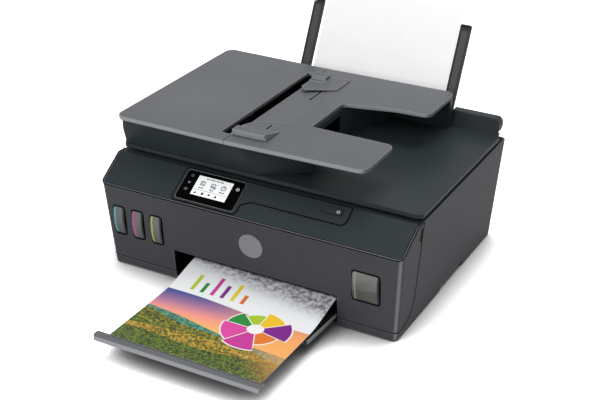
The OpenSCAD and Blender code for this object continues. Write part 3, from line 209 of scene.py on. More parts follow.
def new_group(name, inputs, outputs):
    tree = bpy.data.node_groups.new(name, "ShaderNodeTree")
    for label, kind, value in inputs:
        socket = tree.interface.new_socket(label, in_out="INPUT", socket_type="NodeSocket" + kind)
        socket.default_value = value
    for label, kind in outputs:
        tree.interface.new_socket(label, in_out="OUTPUT", socket_type="NodeSocket" + kind)
    sheet = Sheet(tree)
    return tree, sheet, sheet.add("NodeGroupInput").outputs, sheet.add("NodeGroupOutput").inputs


def moulded_group():
    """Satin moulded plastic: spark-eroded grain, soft tint changes, and an edge colour that paints light
    and shade.

    The edge colour is painted along sharp edges: a lighter one is a painted highlight, a darker one darkens
    the edges. It is also painted as a highlight on upright rounded corners and as light on front faces.
    """
    tree, s, given, result = new_group(
        "moulded_plastic",
        [("Color", "Color", grey(0.1)), ("Edge Color", "Color", grey(0.3)), ("Edge Share", "Float", 0.5),
         ("Edge Width", "Float", 0.9 * MM), ("Corner Share", "Float", 0.0), ("Front Share", "Float", 0.0),
         ("Roughness", "Float", 0.45), ("Grain", "Float", 0.2)],
        [("Color", "Color"), ("Roughness", "Float"), ("Normal", "Vector")])
    place = s.place()
    clouds = s.noise(place, 6.0, 3.0)
    grain = s.noise(place, 1500.0, 1.5, 0.6)
    speck = s.noise(place, 420.0)

    rounded = s.add("ShaderNodeBevel", samples=6)
    s.feed(rounded.inputs["Radius"], given["Edge Width"])
    facing = s.facing()
    # painted highlight and shade: the edge colour goes where the rounded normal bends away from the face
    sharp = s.ease(s.dot(rounded.outputs[0], facing), 0.995, 0.85)
    edge = s.product(sharp, given["Edge Share"])

    across, along, up = s.split(facing)
    sideways, upward = s.sum("ABSOLUTE", across), s.sum("ABSOLUTE", up)
    # painted light: faces that look to the front take the edge colour
    front = s.product(s.ease(along, -0.60, -0.88), given["Front Share"])
    # painted highlight: upright rounded corners take the edge colour
    corner = s.product(s.ease(sideways, 0.30, 0.62), s.ease(sideways, 0.96, 0.80),
                       s.ease(upward, 0.40, 0.15), given["Corner Share"])
    edge = s.sum("MAXIMUM", s.sum("MAXIMUM", edge, corner), front)

    uneven = s.product(s.ease(clouds, 0.25, 0.75, 0.93, 1.07), s.ease(speck, 0.2, 0.8, 0.96, 1.04))
    s.feed(result["Color"], s.mix(edge, s.scaled(given["Color"], uneven), given["Edge Color"]))
    s.feed(result["Roughness"], s.sum("ADD", given["Roughness"], s.ease(speck, 0.2, 0.8, -0.05, 0.05)))
    s.feed(result["Normal"], s.bump(grain, 0.05, given["Grain"], rounded.outputs[0]))
    return tree


def brushed_group():
    """Machined or rolled metal: fine streaks along one axis and slight tint changes."""
    tree, s, given, result = new_group(
        "brushed_metal", [("Color", "Color", grey(0.5)), ("Roughness", "Float", 0.3)],
        [("Color", "Color"), ("Roughness", "Float"), ("Normal", "Vector")])
    stretch = s.add("ShaderNodeMapping")
    s.feed(stretch.inputs["Vector"], s.place())
    stretch.inputs["Scale"].default_value = (0.06, 1, 1)
    streaks = s.noise(stretch.outputs[0], 900.0, 3.0)
    clouds = s.noise(s.place(), 30.0, 3.0)
    s.feed(result["Color"], s.scaled(given["Color"], s.ease(clouds, 0.2, 0.8, 0.9, 1.08)))
    s.feed(result["Roughness"], s.sum("ADD", given["Roughness"], s.ease(streaks, 0.2, 0.8, -0.08, 0.1)))
    s.feed(result["Normal"], s.bump(streaks, 0.03, 0.3))
    return tree


def fibre_group():
    """Paper: faint cloudy formation and fibres."""
    tree, s, given, result = new_group("paper_fibre", [("Color", "Color", grey(0.9))],
                                       [("Color", "Color"), ("Height", "Float")])
    place = s.place()
    clouds = s.noise(place, 40.0, 4.0)
    s.feed(result["Color"], s.scaled(given["Color"], s.ease(clouds, 0.2, 0.8, 0.985, 1.01)))
    s.feed(result["Height"], s.noise(place, 1800.0, 4.0, 0.7))
    return tree


MOULDED = moulded_group()
BRUSHED = brushed_group()
FIBRE = fibre_group()


# --- materials ---
FINISHES = {}  # every material by its name


def new_material(name):
    """Start a material: its node sheet and its Principled shader."""
    material = bpy.data.materials.new(name)
    FINISHES[name] = material
    material.use_nodes = True
    material.node_tree.nodes.clear()
    s = Sheet(material.node_tree)
    shader = s.add("ShaderNodeBsdfPrincipled")
    s.feed(s.add("ShaderNodeOutputMaterial").inputs[0], shader.outputs[0])
    return s, shader


def use_group(s, tree, **values):
    """Place a group in a material; an underscore in a keyword stands for a space in the input's name."""
    node = s.add("ShaderNodeGroup")
    node.node_tree = tree
    for name, value in values.items():
        s.feed(node.inputs[name.replace("_", " ")], value)
    return node


def finish_with(s, shader, group):
    """The group's colour, roughness and normal go into the shader."""
    for label, socket in (("Color", "Base Color"), ("Roughness", "Roughness"), ("Normal", "Normal")):
        s.feed(shader.inputs[socket], group.outputs[label])


def plastic(name, code, edge_shading_code=None, edge=0.5, width=0.9, roughness=0.45, grain=0.35, specular=0.5,
            corner=0.0, front=0.0):
    """Satin moulded plastic; its painted edge line is width mm wide, a highlight where its colour is
    lighter and darker edges where it is darker; corner and front paint a highlight on upright rounded
    corners and light on front faces.
    """
    s, shader = new_material(name)
    finish_with(s, shader, use_group(s, MOULDED, Color=rgba(code), Edge_Color=rgba(edge_shading_code or code),
                                     Edge_Share=edge, Edge_Width=width * MM, Corner_Share=corner,
                                     Front_Share=front, Roughness=roughness, Grain=grain))
    shader.inputs["IOR"].default_value = SATIN_IOR
    shader.inputs["Specular IOR Level"].default_value = specular


def metal(name, code, roughness=0.3):
    s, shader = new_material(name)
    finish_with(s, shader, use_group(s, BRUSHED, Color=rgba(code), Roughness=roughness))
    shader.inputs["Metallic"].default_value = 1.0


def rubber(name, code):
    plastic(name, code, edge=0.0, roughness=0.8, grain=0.8, specular=0.3)


def paper(name, code):
    s, shader = new_material(name)
    fibres = use_group(s, FIBRE, Color=rgba(code))
    s.feed(shader.inputs["Base Color"], fibres.outputs["Color"])
    s.feed(shader.inputs["Normal"], s.bump(fibres.outputs["Height"], 0.02, 0.2))
    shader.inputs["Roughness"].default_value = 0.7
    shader.inputs["Specular IOR Level"].default_value = 0.2


def clear_glass(name, code):
    s, shader = new_material(name)
    smear = s.noise(s.place(), 25.0, 3.0)
    s.feed(shader.inputs["Base Color"], rgba(code))
    s.feed(shader.inputs["Roughness"], s.ease(smear, 0.3, 0.8, 0.02, 0.08))
    shader.inputs["Transmission Weight"].default_value = 1.0
    shader.inputs["IOR"].default_value = GLASS_IOR


def lit_screen():
    s, shader = new_material("screen_white")
    uneven = s.ease(s.noise(s.place(), 60.0), 0.2, 0.8)
    colour = s.mix(uneven, rgba("#f1f4f6"), rgba("#fbfcfd"))
    s.feed(shader.inputs["Base Color"], colour)
    s.feed(shader.inputs["Emission Color"], colour)
    shader.inputs["Emission Strength"].default_value = 0.12
    shader.inputs["Roughness"].default_value = 0.25


def ink_line(name, code):
    """Thin print on glass or plastic, slightly uneven."""
    s, shader = new_material(name)
    worn = s.ease(s.noise(s.place(), 600.0), 0.2, 0.8, 0.0, 0.25)
    s.feed(shader.inputs["Base Color"], s.mix(worn, rgba(code), rgba("#3a3c3e")))
    shader.inputs["Roughness"].default_value = 0.5
    shader.inputs["Specular IOR Level"].default_value = 0.1


# --- ink windows; how wide each of them is ---
COLOUR_WINDOW = 17 * MM
BLACK_WINDOW = 38 * MM


def window_shares(s, centre, width):
    """How far a point lies across and up its ink window, from 0 to 1."""
    x, _, z = s.split(s.place())
    across = s.sum("DIVIDE", s.sum("SUBTRACT", x, centre - width / 2), width)
    height = s.sum("DIVIDE", s.sum("SUBTRACT", z, WINDOW_LOW.z), WINDOW_HIGH.z - WINDOW_LOW.z)
    return across, height


def glossy_window(s, shader, colour):
    """The clear skin over what shows in an ink window."""
    # painted highlight: a pale line along the window's edges
    finish_with(s, shader, use_group(s, MOULDED, Color=colour, Edge_Color=rgba("#7d8080"), Edge_Share=0.2,
                                     Edge_Width=0.5 * MM, Roughness=0.22, Grain=0.1))
    shader.inputs["Specular IOR Level"].default_value = 0.3
    shader.inputs["Coat Weight"].default_value = 0.25
    shader.inputs["Coat Roughness"].default_value = 0.08


def tank_window(name, centre, ink_code, ink_share, rim_highlight_code, milk_code, low_milk_code):
    """Cloudy tank: ink shows along the left share of its bulging front, with a painted highlight rim at its
    far left; the rest is a milky grey.
    """
    s, shader = new_material(name)
    across, height = window_shares(s, centre, COLOUR_WINDOW)
    across = s.sum("ADD", across, s.ease(s.noise(s.place(), 90.0), 0.2, 0.8, -0.03, 0.03))
    ink = s.ease(across, ink_share + 0.08, ink_share - 0.05)
    milk = s.mix(s.ease(height, 0.05, 0.75), rgba(low_milk_code), rgba(milk_code))
    # painted highlight: the pale rim colour at the far left fades into the ink
    glow = s.mix(s.ease(across, 0.0, ink_share), rgba(rim_highlight_code), rgba(ink_code))
    colour = s.mix(ink, milk, glow)
    colour = s.mix(s.ease(height, 0.10, 0.0, 0.0, 0.7), colour, rgba("#1b1b1c"))
    colour = s.mix(s.ease(across, 0.74, 0.92), colour, rgba("#0d0d0e"))
    glossy_window(s, shader, colour)


def black_tank_window():
    """Smoky tank front: paler above, darker ink below a slanting level, a painted highlight line at its
    left.
    """
    s, shader = new_material("tank_smoke")
    low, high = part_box("tank_black")
    across, height = window_shares(s, (low.x + high.x) / 2, BLACK_WINDOW)
    level = s.sum("SUBTRACT", height, s.sum("MULTIPLY_ADD", across, 0.12, 0.36))
    above = s.mix(s.ease(height, 0.4, 1.0), rgba("#5b5c5b"), rgba("#737473"))
    colour = s.mix(s.ease(level, -0.03, 0.03), rgba("#4b4945"), above)
    # painted highlight: a pale line near the left edge
    line = s.product(s.ease(across, 0.07, 0.10), s.ease(across, 0.15, 0.12), 0.55)
    colour = s.mix(line, colour, rgba("#a2a29d"))
    colour = s.mix(s.ease(across, 0.90, 0.95), colour, rgba("#101010"))
    glossy_window(s, shader, colour)


# --- the printed page; u runs across it and v up it, from 0 to 1 ---
SOFT = 0.002  # half width of a drawn edge

SKY = [(0.30, "#f3b36c"), (0.40, "#f0988a"), (0.50, "#a8789c"), (0.60, "#4d5796"), (0.68, "#2f4384")]

# upper edge of each field (height, slope, wave height, waves, phase), then its dark and pale colours
FIELDS = [((0.40, -0.13, 0.012, 1.1, 0.4), "#1d5f5e", "#4f9a80"),
          ((0.37, -0.15, 0.016, 1.4, 2.1), "#2b3d1e", "#8c8a33"),
          ((0.27, -0.10, 0.020, 1.2, 4.0), "#1d3a1e", "#5f7a2a"),
          ((0.21, 0.02, 0.022, 0.9, 5.3), "#4c4f1c", "#c09c3c"),
          ((0.12, 0.06, 0.022, 1.0, 1.3), "#16321b", "#57742a")]
PICTURE_EDGE = (0.625, -0.05, 0.010, 1.0, 0.0)

# short bars: place across, height, colour
BARS = [(0.14, 0.14, "#b5c832"), (0.21, 0.09, "#2c8a3c"), (0.28, 0.16, "#c43f93"),
        (0.35, 0.115, "#7b2a86"), (0.42, 0.15, "#e3cb3c"), (0.49, 0.08, "#d8702c")]
BARS_FOOT = 0.665

# petals: where each starts and ends in radians, its reach, colour
PETALS = [(0.000, 1.05, 0.205, "#d84aa0"), (1.05, 2.00, 0.225, "#c23a95"), (2.00, 2.95, 0.165, "#e07a2c"),
          (2.95, 3.90, 0.215, "#7d2488"), (3.90, 4.75, 0.185, "#f0c32a"), (4.75, 5.55, 0.155, "#a9c934"),
          (5.55, 6.2832, 0.190, "#2c8a3c")]
PETALS_MIDDLE = (0.70, 0.47)


def below_wave(s, u, v, line):
    """1 below a wavy line across the page, 0 above it."""
    base, slope, height, waves, phase = line
    turn = s.sum("MULTIPLY_ADD", u, waves * math.tau, phase)
    swing = s.product(s.sum("SINE", turn), height)
    edge = s.sum("ADD", s.sum("MULTIPLY_ADD", u, slope, base), swing)
    return s.ease(s.sum("SUBTRACT", edge, v), -SOFT, SOFT)


def page_fields(s, u, v):
    """Wavy fields under an evening sky."""
    clumps = s.noise(s.place(), 260.0, 5.0, 0.65)
    blades = s.noise(s.place(), 700.0, 3.0, 0.6)
    colour = s.ramp(s.sum("MULTIPLY_ADD", u, -0.10, v), SKY)
    for line, dark, pale in FIELDS:
        growth = s.mix(s.ease(clumps, 0.43, 0.60), rgba(dark), rgba(pale))
        growth = s.mix(s.ease(blades, 0.54, 0.66, 0.0, 0.5), growth, rgba("#dcc25a"))
        colour = s.mix(below_wave(s, u, v, line), colour, growth)
    warm = s.ease(s.sum("ADD", u, v), 0.85, 1.45, 0.0, 0.75)
    return s.mix(warm, colour, rgba("#f4a85e"))


def page_bars(s, u, v, colour):
    """Short upright bars that stand in a row."""
    for at, tall, code in BARS:
        beside = s.sum("ABSOLUTE", s.sum("SUBTRACT", u, at))
        above = s.sum("SUBTRACT", v, BARS_FOOT)
        inside = s.product(s.ease(beside, 0.014, 0.012), s.ease(above, -SOFT, SOFT),
                           s.ease(above, tall + SOFT, tall - SOFT))
        colour = s.mix(inside, colour, rgba(code))
    return colour


def page_petals(s, u, v, colour):
    """Chart of seven petals of unlike reach, each with a white rim."""
    along = s.sum("SUBTRACT", u, PETALS_MIDDLE[0])
    up = s.sum("SUBTRACT", v, PETALS_MIDDLE[1])
    radius = s.sum("SQRT", s.sum("ADD", s.product(along, along), s.product(up, up)))
    angle = s.sum("ADD", s.sum("ARCTAN2", up, along), math.pi)
    for start, end, reach, code in PETALS:
        sector = s.product(s.sum("GREATER_THAN", angle, start), s.sum("LESS_THAN", angle, end))
        white = s.product(sector, s.ease(radius, reach + 0.008, reach + 0.006))
        side = s.sum("MINIMUM", s.sum("SUBTRACT", angle, start), s.sum("SUBTRACT", end, angle))
        fill = s.product(sector, s.ease(radius, reach, reach - 0.003),
                         s.ease(s.product(side, radius), 0.002, 0.004), s.ease(radius, 0.050, 0.053))
        colour = s.mix(white, colour, rgba("#f3f1ee"))
        colour = s.mix(fill, colour, rgba(code))
    return colour


def printed_paper():
    """A freshly printed sheet: fields under a sky, two charts, and a mottled band at its upper edge."""
    s, shader = new_material("printed_paper")
    x, y, _ = s.split(s.place())
    width = PAGE_HIGH.x - PAGE_LOW.x
    u = s.sum("DIVIDE", s.sum("SUBTRACT", x, PAGE_LOW.x), width)
    v = s.sum("DIVIDE", s.sum("SUBTRACT", y, PAGE_LOW.y), width)
    blank = s.mix(s.ease(v, 0.82, 1.0), rgba("#eceef0"), rgba("#e2e3e6"))
    colour = s.mix(below_wave(s, u, v, PICTURE_EDGE), blank, page_fields(s, u, v))
    mottle = s.ease(s.noise(s.place(), 150.0, 5.0, 0.7), 0.38, 0.60)
    band = s.ease(s.sum("MULTIPLY_ADD", u, 0.16, v), 0.84, 0.99)
    colour = s.mix(band, colour, s.mix(mottle, rgba("#74757b"), rgba("#d2d3d7")))
    colour = page_petals(s, u, v, page_bars(s, u, v, colour))
    upward = s.split(s.facing())[2]
    colour = s.mix(s.ease(upward, 0.2, 0.5), rgba("#ededee"), colour)
    s.feed(shader.inputs["Base Color"], use_group(s, FIBRE, Color=colour).outputs["Color"])
    shader.inputs["Roughness"].default_value = 0.45
    shader.inputs["Specular IOR Level"].default_value = 0.35


# --- the printer's finishes ---
def make_finishes():
    """Every finish; a plastic has a colour, a colour painted along its edges as highlight or shade, and
    that one's share and width.
    """
    # painted highlights: a pale edge line and pale upright rounded corners
    plastic("case_grey", CASE_GREY, "#85868a", 0.8, 3.2, roughness=0.38, specular=0.15, corner=0.75)
    # painted shade: dark edges that blacken the joints beside the slate parts
    plastic("slate_plastic", SLATE, "#0e1011", 0.85, 1.3, roughness=0.40)
    # feeder and lip: painted highlight along their edges and painted light on their front faces
    plastic("feeder_grey", FEEDER_GREY, "#9b9da0", 0.8, 3.2, roughness=0.42, front=0.75)
    plastic("lip_grey", LIP_GREY, "#a4a6a9", 0.8, 1.6, roughness=0.40, front=0.65)
    # painted highlight: the pale colour of the tray's rail ribs
    plastic("rail_highlight_grey", "#b3b5b6", "#d5d6d7", 0.6, 0.6)
    # painted highlight: pale edges on the black tray
    plastic("tray_black", TRAY_BLACK, "#c9cbcc", 0.95, 1.3)
    plastic("support_grey", SUPPORT_GREY, "#101011", 1.0, 2.2, roughness=0.5)
    plastic("black_plastic", "#161618", "#2c2c2e", 0.4, roughness=0.5)
    plastic("white_plastic", "#dcdcd6", "#efefec", 0.3, roughness=0.4)
    plastic("circuit_board", "#1c5b39", "#6d9c7d", 0.4, roughness=0.35)
    # painted highlight: a pale line along the lens's edges
    plastic("lens_black", "#050506", "#5a5e61", 0.8, 0.8, roughness=0.10, grain=0.0, specular=0.06)
    plastic("badge_silver", "#828487", "#5e6063", 0.8, 0.9, roughness=0.34, grain=0.0, specular=0.4)
    for ink, code, edge_shading_code in (("cyan", "#1f93c0", "#58b7d8"), ("magenta", "#b93282", "#d873ae"),
                                 ("yellow", "#d3be28", "#eadd72"), ("black", "#1c1c1e", "#48484a")):
        plastic("cap_" + ink, code, edge_shading_code, roughness=0.4)

    tank_window("tank_cyan", -199 * MM, "#37827e", 0.19, "#64b0aa", "#5d6060", "#424545")
    tank_window("tank_magenta", -169 * MM, "#824466", 0.38, "#8d5d7f", "#606262", "#4a4c4c")
    tank_window("tank_yellow", -139 * MM, "#b1b54d", 0.17, "#6c6e28", "#626465", "#4c4e4e")
    black_tank_window()

    rubber("gasket_black", "#070707")
    rubber("foot_rubber", "#161616")
    rubber("belt_rubber", "#171717")
    rubber("roller_rubber", "#242426")
    rubber("roller_grey", "#7c7d80")

    metal("port_metal", "#b9bcc0")
    metal("steel", "#a6a8ab")
    metal("polished_steel", "#cfd1d3", 0.15)
    metal("sheet_metal", "#a9acb0", 0.4)
    metal("brass", "#c9a34c")

    clear_glass("clear_film", "#dfe5e8")
    clear_glass("clear_glass", "#cfe2e0")
    lit_screen()

    paper("blank_paper", "#fafafa")
    paper("white_pad", "#ecece9")
    printed_paper()

    ink_line("screen_rows_ink", "#63686c")
    ink_line("screen_icons_ink", "#777c80")
    ink_line("screen_keys_ink", "#4d5155")
    ink_line("faint_ink", "#8f9295")
    ink_line("bright_ink", "#d4d6d8")
    ink_line("button_ink", "#c6c9cb")


def dress_solids():
    """Each solid gets the finish that the record names for it."""
    for part in frame["record"]["subparts"]:
        materials = NODES[part["node"]].data.materials
        materials.clear()
        materials.append(FINISHES[part["material_slot"]])


# --- making pieces ---
def new_piece(name, data, body, slot, finish=None):
    """A piece from a mesh or curve; it wears its slot's finish unless another one is named."""
    data.materials.append(FINISHES[finish or slot])
    piece = bpy.data.objects.new(name, data)
    bpy.context.scene.collection.objects.link(piece)
    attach(piece, body)
    return piece


def closed_mesh(name, bm):
    """The mesh of a closed form, its faces turned outward."""
    bmesh.ops.recalc_face_normals(bm, faces=bm.faces)
    mesh = bpy.data.meshes.new(name)
    bm.to_mesh(mesh)
    bm.free()
    return mesh


def neighbours(row):
    """Each item of a closed row with the next one."""
    return zip(row, row[1:] + row[:1])


def wall_between(bm, one, other):
    """Faces between two closed rows of as many vertices."""
    for (a, b), (c, d) in zip(neighbours(one), neighbours(other)):
        bm.faces.new((a, b, d, c))


def plates(name, outlines, place, thick, body, slot, finish=None):
    """A piece of thin plates: closed outlines in the plane of place, and thick out of it, in mm."""
    bm = bmesh.new()
    for points in outlines:
        lower, upper = ([bm.verts.new(place @ (Vector((x, y, z)) * MM)) for x, y in points]
                        for z in (0, thick))
        bm.faces.new(upper)
        bm.faces.new(lower[::-1])
        wall_between(bm, lower, upper)
    new_piece(name, closed_mesh(name, bm), body, slot, finish)


def beads(name, lines, radius, body, slot):
    """A piece of thin round beads, radius in mm, one along each line of points."""
    curve = bpy.data.curves.new(name, "CURVE")
    curve.dimensions = "3D"
    curve.bevel_depth = radius * MM
    curve.bevel_resolution = 1
    curve.use_fill_caps = True
    for line in lines:
        spline = curve.splines.new("POLY")
        spline.points.add(len(line) - 1)
        for point, at in zip(spline.points, line):
            point.co = (*at, 1)
    new_piece(name, curve, body, slot)


def axes_at(x_axis, y_axis, z_axis, origin):
    """Frame with these axes at origin."""
    place = Matrix((x_axis, y_axis, z_axis)).transposed().to_4x4()
    place.translation = origin
    return place


def bar(x0, y0, x1, y1):
    """Rectangle between two opposite corners."""
    return [(x0, y0), (x1, y0), (x1, y1), (x0, y1)]


def frame_of(x0, y0, x1, y1, w):
    """Four bars round a rectangle."""
    return [bar(x0, y0, x1, y0 + w), bar(x0, y1 - w, x1, y1), bar(x0, y0 + w, x0 + w, y1 - w),
            bar(x1 - w, y0 + w, x1, y1 - w)]


def on_circle(x, y, r, angle):
    return (x + r * math.cos(angle), y + r * math.sin(angle))


def disc(x, y, r, steps=20):
    return [on_circle(x, y, r, math.tau * i / steps) for i in range(steps)]


def ring(x, y, r, w, steps=24, start=0.0, end=math.tau):
    """Band w wide inside an arc, as a row of four-sided plates."""
    turns = [start + (end - start) * k / steps for k in range(steps + 1)]
    return [[on_circle(x, y, r - w, a), on_circle(x, y, r, a), on_circle(x, y, r, b),
             on_circle(x, y, r - w, b)] for a, b in zip(turns, turns[1:])]


# --- seams ---
SEAM_ANGLE = math.radians(50)  # an edge sharper than this can carry a seam
WALL_X, WALL_Y = 213 * MM, 163 * MM  # the case's outer walls lie beyond these
LENS_RIM_X, LENS_RIM_Y = 36 * MM, 17 * MM  # the lens's outline lies beyond these, from its middle


def seam_beads(name, node, body, facing, radius, out, sink, slot="gasket_black", keep=None):
    """A bead in the gap beside a shell, along each sharp edge between its shown faces and the cut ones.

    It stands out of the cut face and is sunk under the skin, in mm; keep picks edges by their middle.
    """
    bm = bmesh.new()
    bm.from_mesh(NODES[node].data)
    bmesh.ops.remove_doubles(bm, verts=bm.verts, dist=0.001 * MM)
    lines = []
    for edge in bm.edges:
        if len(edge.link_faces) != 2:
            continue
        shown = [facing(face) for face in edge.link_faces]
        if shown[0] == shown[1] or edge.calc_face_angle(0) < SEAM_ANGLE:
            continue
        if keep and not keep((edge.verts[0].co + edge.verts[1].co) / 2):
            continue
        skin, cut = edge.link_faces if shown[0] else reversed(edge.link_faces)
        shift = cut.normal * out * MM - skin.normal * sink * MM
        lines.append([v.co + shift for v in edge.verts])
    bm.free()
    beads(name, lines, radius, body, slot)


def outer_wall(face):
    """Faces of the case's outer walls: upright, and looking away from its middle."""
    middle = face.calc_center_median()
    away = face.normal.xy.dot(middle.xy)
    return abs(face.normal.z) < 0.2 and away > 0 and max(abs(middle.x) / WALL_X, -middle.y / WALL_Y) > 1


def panel_face(face):
    slope = Vector((0, -math.sin(PANEL_TILT), math.cos(PANEL_TILT)))
    return face.normal.dot(slope) > 0.98


def front_face(face):
    return face.normal.y < -0.7


def seams():
    """Black beads in the seams round the front fascia and the control panel, painted shade in those gaps;
    black beads round the ink windows' gaskets; a grey rim on the lens, a painted highlight along its edge.
    """
    # painted shade: black beads in the fascia's and the panel's seams stand in for the shade in the gaps
    seam_beads("fascia_seam_shade", "front_fascia", "case", outer_wall, 0.75, 0.6, 0.2)
    seam_beads("panel_seam_shade", "control_panel", "scanner", panel_face, 0.7, 0.45, 0.3)
    seam_beads("window_seal", "window_gaskets", "case", front_face, 0.55, 0.1, 0.1)
    # painted highlight: a grey bead along the edge of the lens
    low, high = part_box("display_lens")
    middle = (low + high) / 2
    seam_beads("lens_rim_highlight", "display_lens", "scanner", panel_face, 0.35, 0.0, 0.15, "lip_grey",
               lambda at: abs(at.x - middle.x) > LENS_RIM_X or abs(at.y - middle.y) > LENS_RIM_Y)


def skin_point(nodes, start, aim):
    """Where a ray from start first meets one of the solids and the way its skin faces there, if it does."""
    meets = []
    for node in nodes:
        mesh = NODES[node].data
        tree = BVHTree.FromPolygons([v.co for v in mesh.vertices], [p.vertices for p in mesh.polygons])
        place, normal, _, far = tree.ray_cast(start, aim)
        if place:
            meets.append((far, place, normal))
    return min(meets, key=lambda meet: meet[0])[1:] if meets else None


SPLIT_INSET = 0.4 * MM  # from the cover's right edge
SPLIT_RADIUS = 0.4
SPLIT_STEPS = 11


def cover_splits():
    """Dark joint between the feeder's cover and its tray, before and behind the slot."""
    _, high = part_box("adf_cover")
    for name, front, back in (("cover_split_front", -145.9, -127.0), ("cover_split_rear", 134.0, 161.6)):
        places = [(front + (back - front) * i / SPLIT_STEPS) * MM for i in range(SPLIT_STEPS + 1)]
        above = [Vector((high.x - SPLIT_INSET, y, high.z + 20 * MM)) for y in places]
        finds = [skin_point(["adf_cover"], start, Vector((0, 0, -1))) for start in above]
        line = [found[0] for found in finds if found]
        beads(name, [line], SPLIT_RADIUS, "feeder_cover", "gasket_black")


# --- small pieces of the case, the tray and the supports ---
NOTCH_Y, NOTCH_Z = -125.6 * MM, 139.5 * MM
NOTCH_LIFT = 0.10 * MM  # its foot stands off the wall by this
NOTCH_OUTLINE = [(-2.4, -8.0), (-1.6, -9.2), (1.4, -9.2), (2.2, -8.0),
                 (3.0, 8.0), (2.2, 9.2), (-1.2, 9.2), (-2.0, 8.0)]
RAIL_RIBS = ((0.2, 1.3), (3.6, 1.1))  # how far each rib lies below the tray's edge, and its height


def finger_notch_shade():
    """Dark plate on the wall beside the top of the right upright seam: painted shade of the small catch
    recess there.
    """
    beside = Vector((400 * MM, -130 * MM, NOTCH_Z))
    met, facing = skin_point(["front_fascia", "base_case"], beside, Vector((-1, 0, 0)))
    rise = (Vector((0, 0, 1)) - facing * facing.z).normalized()
    middle = Vector((met.x, NOTCH_Y, met.z)) + facing * NOTCH_LIFT
    plates("finger_notch_shade", [NOTCH_OUTLINE], axes_at(rise.cross(facing), rise, facing, middle), 0.4,
           "case", "gasket_black")


def tray_rail_highlight():
    """Two pale ribs along the right side of the tray, under the sheet; their pale colour is a painted
    highlight on the rail's edges.
    """
    low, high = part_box("output_tray")
    side = [v.co for v in NODES["output_tray"].data.vertices if v.co.x > high.x - 0.2 * MM]
    front = max((p for p in side if p.y < low.y + 4 * MM), key=lambda p: p.z)
    back = max((p for p in side if p.y > high.y - 4 * MM), key=lambda p: p.z)
    length = (back - front).length / MM
    ribs = [bar(0, -drop, length, -drop - tall) for drop, tall in RAIL_RIBS]
    along, outward = (back - front).normalized(), Vector((1, 0, 0))
    plates("tray_rail_highlight", ribs, axes_at(along, outward.cross(along), outward, front), 0.5,
           "tray", "lip_grey", "rail_highlight_grey")


def support_caps():
    """Dark cap with a chamfered top on the upper end of each sheet support."""
    lean = Matrix.Rotation(-FEED_LEAN, 4, "X")
    for side, left_inset in (("left", 5.0), ("right", 0.4)):
        low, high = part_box("paper_support_" + side)
        level = [lean.inverted() @ v.co for v in NODES["paper_support_" + side].data.vertices]
        near, far = min(p.y for p in level), max(p.y for p in level)
        x0, x1 = low.x / MM + left_inset, high.x / MM - 0.4
        outline = [(x0, -3.2), (x1, -3.2), (x1, 1.6), (x1 - 1.2, 2.6), (x0 + 1.2, 2.6), (x0, 1.6)]
        behind = (0, far + 0.3 * MM, max(p.z for p in level))
        plates("support_cap_" + side, [outline], lean @ axes_at((1, 0, 0), (0, 0, 1), (0, -1, 0), behind),
               (far - near) / MM + 0.4, "support_" + side, "black_plastic")


# --- marks on the screen, the lens and the button ---
SCREEN_INK, LENS_INK = 0.08, 0.06  # thickness in mm


def top_of(node):
    """Frame in the middle of a solid's top face on the sloping panel: x right, y up the slope."""
    tilt = Matrix.Rotation(PANEL_TILT, 4, "X")
    level = [tilt.inverted() @ v.co for v in NODES[node].data.vertices]
    top = max(p.z for p in level)
    face = [p for p in level if top - p.z < 0.1 * MM]
    middle = Vector(((min(p.x for p in face) + max(p.x for p in face)) / 2,
                     (min(p.y for p in face) + max(p.y for p in face)) / 2, top))
    return Matrix.Translation(tilt @ middle) @ tilt


def screen_marks():
    """Plain menu on the lit screen: a title row, three big marks with their captions, four small ones."""
    place = top_of("display_screen")
    titles = ((-14, 3.4), (-9.6, 2), (-6.6, 4.6), (-1, 2.4), (2.4, 3.6), (7, 5))
    rows = [bar(x, 11.6, x + w, 13.2) for x, w in titles] + [bar(-24.5, -6.8, 24.5, -6.3)]
    for x, w in ((-16, 7), (0.3, 5.4), (16, 8)):
        rows += [bar(x - w / 2, -3.8, x - 0.4, -2.0), bar(x + 0.3, -3.8, x + w / 2, -2.0)]
    icons = frame_of(-19.6, 0.8, -12.6, 8.0, 1.2)
    icons += [bar(-17.6, 2.8, -14.4, 3.9), bar(-17.6, 4.9, -15.4, 6.0)]
    icons += frame_of(-3.4, 0.8, 3.8, 7.6, 1.2)
    icons += [bar(1.6, -0.4, 5.0, 1.9), [(-1.8, 2.4), (1.8, 2.4), (0, 5.4)]]
    icons += ring(16, 4.2, 3.9, 1.3) + [bar(15.4, 4.2, 16.6, 6.6)]
    keys = [[(-22.8, -13.0), (-18.4, -13.0), (-20.6, -9.2)], disc(-9.6, -11.2, 2.1, 12),
            [(-1.9, -9.4), (2.7, -9.4), (0.4, -13.4)], bar(8.4, -12.8, 12.6, -11.4),
            bar(9.4, -11.4, 11.6, -9.2), disc(0.3, -5.2, 0.6, 8)]
    for name, shapes in (("screen_rows", rows), ("screen_icons", icons), ("screen_keys", keys)):
        plates(name, shapes, place, SCREEN_INK, "scanner", "lens_black", name + "_ink")


